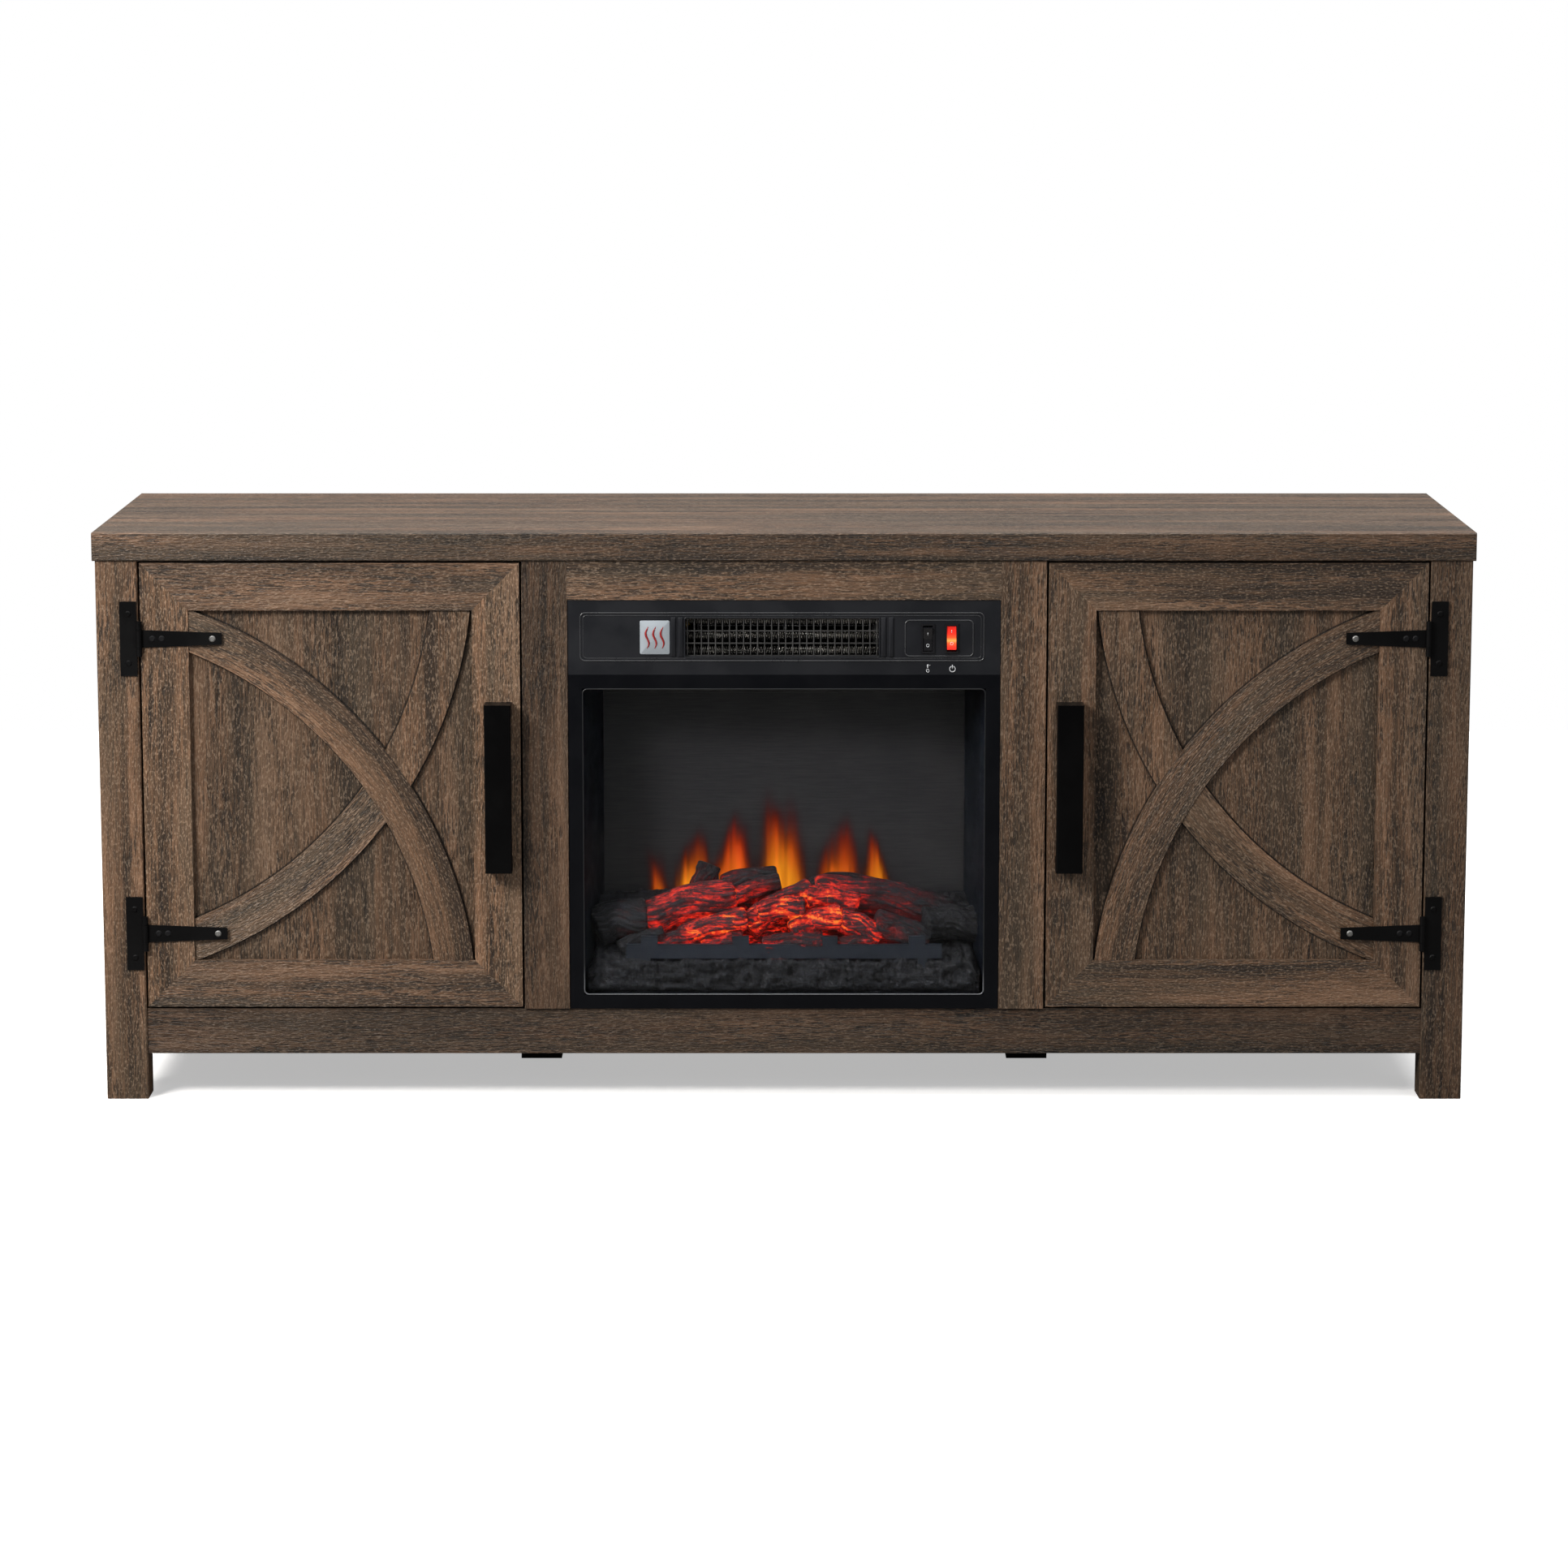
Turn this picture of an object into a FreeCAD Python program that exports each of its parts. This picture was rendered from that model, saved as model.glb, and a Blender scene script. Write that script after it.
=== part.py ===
"""Rustic TV stand with two braced doors and a slot-in electric fireplace between them.

Frame: +Z up, the front faces -Y, +X is the right side seen from the front. The origin is the
middle of the bounding box's bottom face. All lengths are millimetres.
"""
import FreeCAD, Part
import math
import os
import Sketcher

Vector = FreeCAD.Vector
doc = FreeCAD.newDocument("FireplaceStand")

DIMENSIONS = {
    # cabinet
    "top_wide": 1473, "top_deep": 406, "top_thick": 30, "top_lip": 3, "total_high": 617,
    "leg_wide": 44.8, "leg_deep": 41, "leg_out": 733.8, "edge_chamfer": 1.2,
    "panel_thick": 15, "side_inset": 6.8, "side_bottom": 60,
    "stile_in": 231.5, "stile_wide": 48.5, "front_thick": 18,
    "base_top": 100, "base_rail_low": 50, "rail_setback": 3, "upper_rail_low": 545,
    "divider_in": 262, "shelf_low": 335, "shelf_front": 44, "shelf_back": 44, "shelf_slack": 0.5,
    "back_thick": 5, "back_inset": 4, "cable_hole": 25, "cable_hole_up": 470,
    "foot_wide": 45.5, "foot_in": 250, "foot_setback": 199,
    "pin_radius": 2.5, "pin_deep": 9, "pin_proud": 9, "pin_pitch": 32,
    # doors
    "door_gap": 2.25, "door_panel_thick": 12, "strip_wide": 51, "strip_thick": 7,
    "brace_outer": 459.7, "brace_band": 42.7, "brace_thick": 5.5, "half_brace_thick": 4.5,
    "brace_centre_out": 105.25, "handle_out": 25, "handle_wide": 28.5, "handle_long": 182,
    "handle_foot": 15, "handle_bar": 9, "handle_edge": 9, "handle_low": 253, "handle_round": 1.5,
    "catch_wide": 34, "catch_deep": 14, "catch_high": 12, "catch_side": 12, "catch_play": 1.5,
    "fixing_sheet": 1.2, "fixing_radius": 4,
    # hinges
    "hinge_up": 503.5, "hinge_down": 183, "leaf_wide": 18, "leaf_high": 80, "leaf_edge": 1.5,
    "plate_thick": 1.8, "barrel_radius": 3.2, "barrel_clear": 0.1, "hinge_pin_radius": 1.6,
    "pin_play": 0.05, "strap_root": 19, "strap_tip": 12.5, "strap_long": 88,
    "knuckle_play": 0.3, "knuckle_high": 9,
    "screw_radius": 3.4, "screw_top": 2.3, "screw_high": 1, "leaf_screw_off": 26.5,
    # fireplace insert
    "insert_wide": 462, "insert_high": 444.5, "glass_frame_high": 364.5,
    "insert_set": 1, "panel_sheet": 4, "frame_deep": 18, "frame_border": 15,
    "glass_thick": 3, "glass_set": 8, "glass_lap": 6, "glass_play": 0.2,
    "housing_wide": 450, "housing_deep": 160, "sheet": 1.2, "housing_high": 441,
    "vent_wide": 4, "vent_pitch": 22, "vent_low": 440, "vent_high": 70,
    "gland_x": -180, "gland_z": 135, "gland_radius": 6, "gland_bore": 3.5, "gland_flange": 9,
    "gland_lip": 4, "gland_long": 12,
    # air outlet and heater
    "grille_wide": 206, "grille_high": 41, "grille_low": 484, "grille_left": 2, "wire": 1.2,
    "wire_pitch": 7.5, "wire_lap": 3,
    "duct_half": 116, "duct_low": 476, "duct_top": 534, "duct_deep": 40, "duct_gap": 8,
    "coil_radius": 4, "coil_low": 488, "coil_pitch": 16, "coil_half": 108, "coil_back": 12,
    "mica_thick": 2, "mica_deep": 16,
    "blower_radius": 24, "blower_long": 188, "blower_back": 118, "blower_z": 505, "shaft_radius": 2.5,
    "blade_deep": 6, "blade_thick": 1, "disc_thick": 2, "shaft_left": 18, "shaft_right": 30,
    # switches
    "switch_low_x": 153.5, "switch_high_x": 179, "switch_z": 503.5,
    "bezel_wide": 14.5, "bezel_high": 32, "bezel_proud": 1.2, "bezel_hole_wide": 10.4,
    "bezel_hole_high": 27.8, "bezel_deep": 14, "bezel_wall": 1, "bezel_floor": 1.5,
    "rocker_wide": 9.6, "rocker_tilt": 10, "pivot_deep": 4,
    # flame effect
    "screen_back": 96, "screen_thick": 2, "screen_top": 462,
    "rotor_back": 128, "rotor_z": 170, "rotor_long": 380, "rotor_radius": 3,
    "tab_long": 11, "tab_thick": 0.6, "tab_wide": 18, "tab_margin": 30,
    "motor_long": 28, "motor_half": 21, "bush_radius": 8, "bush_long": 8,
    "board_half": 205, "board_deep": 14, "board_thick": 1.6, "board_gap": 8,
    "lamp_wide": 5, "lamp_high": 2, "lamp_pitch": 34,
    "bed_low": 118, "bed_high": 24, "bed_wide": 424, "bed_front": 28, "bed_deep": 66,
    "grate_front": 20, "grate_thick": 6, "grate_low": 151, "grate_high": 15.5, "grate_wide": 342,
    "post_wide": 18, "post_high": 9, "grate_foot_x": 150, "grate_foot_wide": 10,
}

sheet = doc.addObject("Spreadsheet::Sheet", "dims")
for row, (alias, value) in enumerate(DIMENSIONS.items(), 1):
    sheet.set(f"A{row}", alias)
    sheet.set(f"B{row}", str(value))
    sheet.setAlias(f"B{row}", alias)
doc.recompute()


def dim(alias):
    """The driving dimension's value, as the sheet holds it."""
    return float(sheet.get(alias))


# Derived planes, written on the sheet's cells.
BACK = "(dims.top_deep + dims.handle_out - dims.top_lip) / 2"
FACE = f"(dims.handle_out - {BACK})"
SLAB_LOW = "(dims.total_high - dims.top_thick)"
LEG_IN = "(dims.leg_out - dims.leg_wide)"
SIDE_OUT = "(dims.leg_out - dims.side_inset)"
SIDE_IN = "(dims.leg_out - dims.side_inset - dims.panel_thick)"
STILE_OUT = "(dims.stile_in + dims.stile_wide)"
DIVIDER_OUT = "(dims.divider_in + dims.panel_thick)"
BASE_LOW = "(dims.base_top - dims.panel_thick)"
REAR_FACE = f"({BACK} - dims.back_inset - dims.back_thick)"
FRONT_BACK = f"({FACE} + dims.front_thick)"
DOOR_IN = f"({STILE_OUT} + dims.door_gap)"
DOOR_OUT = f"({LEG_IN} - dims.door_gap)"
DOOR_LOW = "(dims.base_top + dims.door_gap)"
DOOR_TOP = f"({SLAB_LOW} - dims.door_gap)"
DOOR_WIDE = f"({DOOR_OUT} - {DOOR_IN})"
DOOR_HIGH = f"({DOOR_TOP} - {DOOR_LOW})"
STRIP_BACK = f"({FACE} + dims.strip_thick)"
HINGE_X = f"({LEG_IN} - dims.door_gap / 2)"
HINGE_Y = f"({FACE} - dims.barrel_radius - dims.barrel_clear)"
INSERT_FACE = f"({FACE} + dims.insert_set)"
HALF_INSERT = "(dims.insert_wide / 2)"
SEAM = "(dims.base_top + dims.glass_frame_high)"

SIDES = (("left", -1), ("right", 1))
nodes = {}


def node(label, piece):
    """Name a finished sub-part; its label is the name of its file."""
    piece.Label = label
    nodes[label] = piece
    return piece


def mirrored(sign, low, high):
    """The span low..high on the right side, or its mirror image on the left side."""
    if sign > 0:
        return (low, high)
    return (f"-({high})", f"-({low})")


def box(name, x, y, z):
    """A box between two planes on each axis; every plane is an expression or a number."""
    piece = doc.addObject("Part::Box", name)
    for size, axis, (low, high) in (("Length", "x", x), ("Width", "y", y), ("Height", "z", z)):
        piece.setExpression(size, f"({high}) - ({low})")
        piece.setExpression(f"Placement.Base.{axis}", f"{low}")
    return piece


TURNS = {
    "x": FreeCAD.Rotation(Vector(0, 1, 0), 90),
    "y": FreeCAD.Rotation(Vector(1, 0, 0), -90),
    "z": FreeCAD.Rotation(),
}


def rod(name, axis, radius, start, length):
    """A cylinder from the point start, along +X, +Y or +Z."""
    piece = doc.addObject("Part::Cylinder", name)
    piece.Placement = FreeCAD.Placement(Vector(), TURNS[axis])
    piece.setExpression("Radius", f"{radius}")
    piece.setExpression("Height", f"{length}")
    for letter, value in zip("xyz", start):
        piece.setExpression(f"Placement.Base.{letter}", f"{value}")
    return piece


def fuse(name, pieces):
    piece = doc.addObject("Part::MultiFuse", name)
    piece.Shapes = pieces
    return piece


def group(name, pieces):
    """Several separate solids kept side by side in one compound."""
    piece = doc.addObject("Part::Compound", name)
    piece.Links = pieces
    return piece


def cut(name, base, tools):
    """The base with one tool, or several fused tools, taken away."""
    piece = doc.addObject("Part::Cut", name)
    piece.Base = base
    piece.Tool = tools[0] if len(tools) == 1 else fuse(name + "_tools", tools)
    return piece


def common(name, pieces):
    piece = doc.addObject("Part::MultiCommon", name)
    piece.Shapes = pieces
    return piece


def plane_of(body, role):
    """The body's own origin plane, found by its role."""
    return next(item for item in body.Origin.OriginFeatures if item.Role == role)


def add_polygon(sketch, points):
    """Closed outline through the points; each corner is tied to the origin by two dimensions."""
    first = len(sketch.Geometry)
    count = len(points)
    for index in range(count):
        angle = 2 * math.pi * index / count
        following = 2 * math.pi * (index + 1) / count
        sketch.addGeometry(Part.LineSegment(
            Vector(math.cos(angle), math.sin(angle), 0),
            Vector(math.cos(following), math.sin(following), 0)), False)
    for index in range(count):
        sketch.addConstraint(Sketcher.Constraint(
            "Coincident", first + index, 2, first + (index + 1) % count, 1))
    for index, corner in enumerate(points):
        for kind, value in zip(("DistanceX", "DistanceY"), corner):
            number = sketch.addConstraint(Sketcher.Constraint(kind, -1, 1, first + index, 1, 1.0))
            sketch.setExpression(f"Constraints[{number}]", f"{value}")


def add_circle(sketch, centre, radius):
    """A circle tied to the origin by its centre and by its radius."""
    index = len(sketch.Geometry)
    sketch.addGeometry(Part.Circle(Vector(1, 1, 0), Vector(0, 0, 1), 1), False)
    for kind, value in zip(("DistanceX", "DistanceY"), centre):
        number = sketch.addConstraint(Sketcher.Constraint(kind, -1, 1, index, 3, 1.0))
        sketch.setExpression(f"Constraints[{number}]", f"{value}")
    number = sketch.addConstraint(Sketcher.Constraint("Radius", index, 1.0))
    sketch.setExpression(f"Constraints[{number}]", f"{radius}")


def new_sketch(body, name, role, outlines, circles=()):
    """A sketch on one of the body's origin planes, with polygons and circles."""
    sketch = body.newObject("Sketcher::SketchObject", name)
    sketch.AttachmentSupport = (plane_of(body, role), [""])
    sketch.MapMode = "FlatFace"
    for points in outlines:
        add_polygon(sketch, points)
    for centre, radius in circles:
        add_circle(sketch, centre, radius)
    return sketch


def padded_body(name, role, outlines, depth, place, circles=(), midplane=False, reverse=False):
    """A body with one pad of the outlines, at the place given by three expressions."""
    body = doc.addObject("PartDesign::Body", name)
    pad = body.newObject("PartDesign::Pad", name + "_pad")
    pad.Profile = new_sketch(body, name + "_outline", role, outlines, circles)
    pad.setExpression("Length", f"{depth}")
    pad.Midplane = midplane
    pad.Reversed = reverse
    for letter, value in zip("xyz", place):
        body.setExpression(f"Placement.Base.{letter}", f"{value}")
    doc.recompute()
    return body


def pocket(body, name, role, outlines, depth, reverse, circles=()):
    """Cut the outlines into the body from one of its origin planes."""
    before = body.Shape.Volume
    feature = body.newObject("PartDesign::Pocket", name)
    feature.Profile = new_sketch(body, name + "_outline", role, outlines, circles)
    feature.setExpression("Length", f"{depth}")
    feature.Reversed = reverse
    doc.recompute()
    if not body.Shape.Volume < before - 1:
        raise RuntimeError(f"{name} cuts nothing")
    return feature


def rectangle(low_x, low_y, high_x, high_y):
    return [(low_x, low_y), (high_x, low_y), (high_x, high_y), (low_x, high_y)]


def edges_along(shape, direction, choose=lambda edge: True):
    """Names of the straight edges parallel to a direction that pass the choice."""
    names = []
    for index, edge in enumerate(shape.Edges, 1):
        if edge.Curve.TypeId != "Part::GeomLine" or not choose(edge):
            continue
        if abs(edge.Curve.Direction.dot(direction)) > 0.999:
            names.append(f"Edge{index}")
    return names


def chamfer(body, direction, size="dims.edge_chamfer", kind="Chamfer", choose=lambda edge: True):
    """Break the body's straight edges that run along the direction."""
    feature = body.newObject(f"PartDesign::{kind}", body.Name + "_" + kind.lower())
    feature.Base = (feature.BaseFeature, edges_along(body.Shape, direction, choose))
    feature.setExpression("Radius" if kind == "Fillet" else "Size", size)
    doc.recompute()


# ---------------------------------------------------------------- cabinet

def make_top():
    half = "dims.top_wide / 2"
    body = padded_body("top_panel", "XY_Plane", [rectangle(f"-{half}", 0, half, "dims.top_deep")],
                       "dims.top_thick", ("0", f"{FACE} - dims.top_lip", SLAB_LOW))
    chamfer(body, Vector(1, 0, 0))
    node("top_panel", body)


def make_legs():
    """Four square posts from the floor to the slab, with broken vertical edges."""
    outline = [rectangle(0, 0, "dims.leg_wide", "dims.leg_deep")]
    for side, sign in SIDES:
        left_edge = mirrored(sign, LEG_IN, "dims.leg_out")[0]
        for end, front in (("front", FACE), ("rear", f"{BACK} - dims.leg_deep")):
            name = f"{side}_{end}_leg"
            body = padded_body(name, "XY_Plane", outline, SLAB_LOW, (left_edge, front, "0"))
            chamfer(body, Vector(0, 0, 1))
            node(name, body)


def pin_places(face_x):
    """Rows and columns of the shelf-pin holes: three heights, front and rear column."""
    columns = (f"{FRONT_BACK} + dims.shelf_front + 20", f"{REAR_FACE} - dims.shelf_back - 20")
    return [(face_x, y, step) for y in columns for step in (-1, 0, 1)]


def drilled_board(name, x, y, z, drill_from):
    """An upright board with the shelf-pin holes drilled into its inner face."""
    board = box(name + "_board", x, y, z)
    holes = []
    for index, (at_x, at_y, step) in enumerate(pin_places(drill_from)):
        centre = f"dims.shelf_low - dims.pin_radius + {step} * dims.pin_pitch"
        holes.append(rod(f"{name}_hole{index}", "x", "dims.pin_radius", (at_x, at_y, centre), "dims.pin_deep"))
    node(name, cut(name, board, holes))


def make_uprights():
    """Side panels behind the front legs, and the dividers each side of the fireplace."""
    for side, sign in SIDES:
        inward = f"-({SIDE_IN}) - dims.pin_deep" if sign < 0 else SIDE_IN
        between_legs = (f"{FACE} + dims.leg_deep", f"{BACK} - dims.leg_deep")
        drilled_board(f"{side}_side_panel", mirrored(sign, SIDE_IN, SIDE_OUT), between_legs,
                      ("dims.side_bottom", SLAB_LOW), inward)
        outward = f"-({DIVIDER_OUT})" if sign < 0 else f"{DIVIDER_OUT} - dims.pin_deep"
        drilled_board(f"{side}_divider", mirrored(sign, "dims.divider_in", DIVIDER_OUT),
                      (FRONT_BACK, REAR_FACE), ("dims.base_top", SLAB_LOW), outward)


def make_front_frame():
    """Stiles each side of the fireplace, the rail above it and the long rail below."""
    for side, sign in SIDES:
        body = padded_body(f"{side}_front_stile", "XY_Plane",
                           [rectangle(0, 0, "dims.stile_wide", "dims.front_thick")],
                           f"{SLAB_LOW} - dims.base_top",
                           (mirrored(sign, "dims.stile_in", STILE_OUT)[0], FACE, "dims.base_top"))
        node(f"{side}_front_stile", body)
    node("upper_front_rail", box("upper_front_rail", ("-dims.stile_in", "dims.stile_in"),
                                 (FACE, FRONT_BACK), ("dims.upper_rail_low", SLAB_LOW)))
    set_back = (f"{FACE} + dims.rail_setback", f"{FRONT_BACK} + dims.rail_setback")
    node("lower_front_rail", box("lower_front_rail", (f"-{LEG_IN}", LEG_IN), set_back,
                                 ("dims.base_rail_low", "dims.base_top")))


def make_bottom():
    """Floor board of the cabinet, notched round the four legs."""
    leg_front = "dims.leg_deep - dims.front_thick - dims.rail_setback"
    deep = f"{REAR_FACE} - {FRONT_BACK} - dims.rail_setback"
    leg_rear = f"{deep} - dims.leg_deep + dims.back_inset + dims.back_thick"
    right = [(LEG_IN, "0"), (LEG_IN, leg_front), (SIDE_IN, leg_front),
             (SIDE_IN, leg_rear), (LEG_IN, leg_rear), (LEG_IN, deep)]
    left = [(f"-({x})", y) for x, y in reversed(right)]
    node("bottom_panel", padded_body("bottom_panel", "XY_Plane", [right + left], "dims.panel_thick",
                                     ("0", f"{FRONT_BACK} + dims.rail_setback", BASE_LOW)))


def make_shelves():
    """One shelf in each side compartment, on four pins pressed into the uprights."""
    pins = []
    for side, sign in SIDES:
        span = mirrored(sign, f"{DIVIDER_OUT} + dims.shelf_slack", f"{SIDE_IN} - dims.shelf_slack")
        depth = (f"{FRONT_BACK} + dims.shelf_front", f"{REAR_FACE} - dims.shelf_back")
        node(f"{side}_shelf", box(f"{side}_shelf", span, depth,
                                  ("dims.shelf_low", "dims.shelf_low + dims.panel_thick")))
        for face, sense in ((DIVIDER_OUT, -1), (SIDE_IN, 1)):
            root = f"{face} + {sense} * dims.pin_deep"
            tip = f"{face} - {sense} * dims.pin_proud"
            low = mirrored(sign, root, tip)[0] if sense < 0 else mirrored(sign, tip, root)[0]
            for column, (_, y, step) in enumerate(pin_places(face)):
                if step == 0:
                    pins.append(rod(f"{side}_pin{len(pins)}", "x", "dims.pin_radius",
                                    (low, y, "dims.shelf_low - dims.pin_radius"),
                                    "dims.pin_deep + dims.pin_proud"))
    node("shelf_pins", group("shelf_pins", pins))


def make_backs():
    """Hardboard back of each side compartment, with a round hole for cables."""
    for side, sign in SIDES:
        low, high = mirrored(sign, "dims.divider_in", LEG_IN)
        board = box(f"{side}_back_board", (low, high), (REAR_FACE, f"{REAR_FACE} + dims.back_thick"),
                    (BASE_LOW, SLAB_LOW))
        hole = rod(f"{side}_cable_hole", "y", "dims.cable_hole",
                   (f"(({low}) + ({high})) / 2", f"{REAR_FACE} - 1", "dims.cable_hole_up"),
                   "dims.back_thick + 2")
        node(f"{side}_back_panel", cut(f"{side}_back_panel", board, [hole]))


def make_feet():
    feet = []
    for side, sign in SIDES:
        feet.append(box(f"{side}_foot", mirrored(sign, "dims.foot_in", "dims.foot_in + dims.foot_wide"),
                        (f"{FACE} + dims.foot_setback", f"{FACE} + dims.foot_setback + dims.foot_wide"),
                        ("0", BASE_LOW)))
    node("center_feet", group("center_feet", feet))


def make_catches():
    """Magnetic catches under the slab, behind the free top corner of each door."""
    catches = []
    for side, sign in SIDES:
        start = f"{STILE_OUT} + dims.catch_side"
        depth = f"{STRIP_BACK} + dims.door_panel_thick + dims.catch_play"
        catches.append(box(f"{side}_catch", mirrored(sign, start, f"{start} + dims.catch_wide"),
                           (depth, f"{depth} + dims.catch_deep"), (f"{SLAB_LOW} - dims.catch_high", SLAB_LOW)))
    node("door_magnets", group("door_magnets", catches))


# ---------------------------------------------------------------- hinges

def barrel(name, sign, low, high):
    """One knuckle of the hinge, a solid round bar on the pin's axis."""
    return rod(name, "z", "dims.barrel_radius", (mirrored(sign, HINGE_X, HINGE_X)[0], HINGE_Y, low),
               f"({high}) - ({low})")


def screw_head(name, x, y, z):
    """Low tapered screw head that stands on a front face and points to -Y."""
    head = doc.addObject("Part::Cone", name)
    head.Placement = FreeCAD.Placement(Vector(), FreeCAD.Rotation(Vector(1, 0, 0), 90))
    head.setExpression("Radius1", "dims.screw_radius")
    head.setExpression("Radius2", "dims.screw_top")
    head.setExpression("Height", "dims.screw_high")
    for letter, value in zip("xyz", (x, y, z)):
        head.setExpression(f"Placement.Base.{letter}", f"{value}")
    return head


STRAP_SCREWS = (14, 24, 78)


def make_hinges():
    """Four T-strap hinges: leaf on the leg, tapered strap on the door, pin between them."""
    leaves = []
    pins = []
    leaf_screws = []
    straps = {side: [] for side, sign in SIDES}
    screws = {side: [] for side, sign in SIDES}
    plate_front = f"{FACE} - dims.plate_thick"
    leaf_edge = f"{LEG_IN} + dims.leaf_edge"
    for side, sign in SIDES:
        axis_x = mirrored(sign, HINGE_X, HINGE_X)[0]
        for level in ("hinge_up", "hinge_down"):
            name = f"{side}_{level}"
            middle = f"dims.{level}"
            half = "dims.strap_root / 2"
            plate = box(name + "_leaf_plate",
                        mirrored(sign, leaf_edge, f"{leaf_edge} + dims.leaf_wide"), (plate_front, FACE),
                        (f"{middle} - dims.leaf_high / 2", f"{middle} + dims.leaf_high / 2"))
            parts = [plate]
            for way, start in (("up", f"{middle} + {half} + dims.knuckle_play"),
                               ("down", f"{middle} - {half} - dims.knuckle_play - dims.knuckle_high")):
                stop = f"{start} + dims.knuckle_high"
                parts.append(barrel(f"{name}_knuckle_{way}", sign, start, stop))
                parts.append(box(f"{name}_tab_{way}", mirrored(sign, HINGE_X, f"{leaf_edge} + 1"),
                                 (plate_front, FACE), (start, stop)))
            pin_low = f"{middle} - {half} - dims.knuckle_play - dims.knuckle_high"
            pin_long = "dims.strap_root + 2 * dims.knuckle_play + 2 * dims.knuckle_high"
            bore = rod(name + "_leaf_bore", "z", "dims.hinge_pin_radius",
                       (axis_x, HINGE_Y, f"{pin_low} - 1"), f"{pin_long} + 2")
            room = rod(name + "_strap_room", "z", "dims.barrel_radius + dims.knuckle_play",
                       (axis_x, HINGE_Y, f"{middle} - {half} - dims.knuckle_play"),
                       "dims.strap_root + 2 * dims.knuckle_play")
            leaves.append(cut(name + "_leaf", fuse(name + "_leaf_raw", parts), [bore, room]))
            pins.append(rod(name + "_pin", "z", "dims.hinge_pin_radius", (axis_x, HINGE_Y, pin_low), pin_long))
            for off in (-1, 1):
                x = mirrored(sign, f"{leaf_edge} + dims.leaf_wide / 2", "0")[0 if sign > 0 else 1]
                leaf_screws.append(screw_head(f"{name}_leaf_screw{off + 1}", x, plate_front,
                                        f"{middle} + {off} * dims.leaf_screw_off"))
            straps[side].append(make_strap(name, sign, middle, plate_front, axis_x))
            for index, reach in enumerate(STRAP_SCREWS):
                x = mirrored(sign, f"{HINGE_X} - {reach}", "0")[0 if sign > 0 else 1]
                screws[side].append(screw_head(f"{name}_strap_screw{index}", x, plate_front, middle))
        node(f"{side}_hinge_straps", group(f"{side}_hinge_straps", straps[side]))
    node("hinge_leaves", group("hinge_leaves", leaves))
    node("hinge_pins", group("hinge_pins", pins))
    node("leaf_screws", group("leaf_screws", leaf_screws))
    return screws


def make_strap(name, sign, middle, plate_front, axis_x):
    """Tapered strap with its knuckle, bored for a running fit on the pin."""
    root = "dims.strap_root / 2"
    tip = "dims.strap_tip / 2"
    inward = "-" if sign > 0 else ""
    points = [("0", f"-({root})"), (f"{inward}(dims.strap_long)", f"-({tip})"),
              (f"{inward}(dims.strap_long)", tip), ("0", root)]
    plate = padded_body(name + "_strap_plate", "XZ_Plane", [points], "dims.plate_thick",
                        (axis_x, FACE, middle))
    knuckle = barrel(name + "_strap_knuckle", sign, f"{middle} - {root}", f"{middle} + {root}")
    bore = rod(name + "_strap_bore", "z", "dims.hinge_pin_radius + dims.pin_play",
               (axis_x, HINGE_Y, f"{middle} - {root} - 1"), "dims.strap_root + 2")
    return cut(name + "_strap", fuse(name + "_strap_raw", [plate, knuckle]), [bore])


# ---------------------------------------------------------------- doors

def door_point(sign, from_hinge):
    """X of a point measured from the door's hinge edge towards its free edge."""
    return f"({DOOR_OUT} - ({from_hinge}))" if sign > 0 else f"(({from_hinge}) - {DOOR_OUT})"


def make_strips(side):
    """Four mitred strips round the door's face."""
    s = "dims.strip_wide"
    w = DOOR_WIDE
    t = DOOR_HIGH
    outlines = {
        "top_rail": [("0", t), (s, f"{t} - {s}"), (f"{w} - {s}", f"{t} - {s}"), (w, t)],
        "bottom_rail": [("0", "0"), (w, "0"), (f"{w} - {s}", s), (s, s)],
        "hinge_stile": [("0", "0"), (s, s), (s, f"{t} - {s}"), ("0", t)],
        "latch_stile": [(w, "0"), (w, t), (f"{w} - {s}", f"{t} - {s}"), (f"{w} - {s}", s)],
    }
    return outlines


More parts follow.
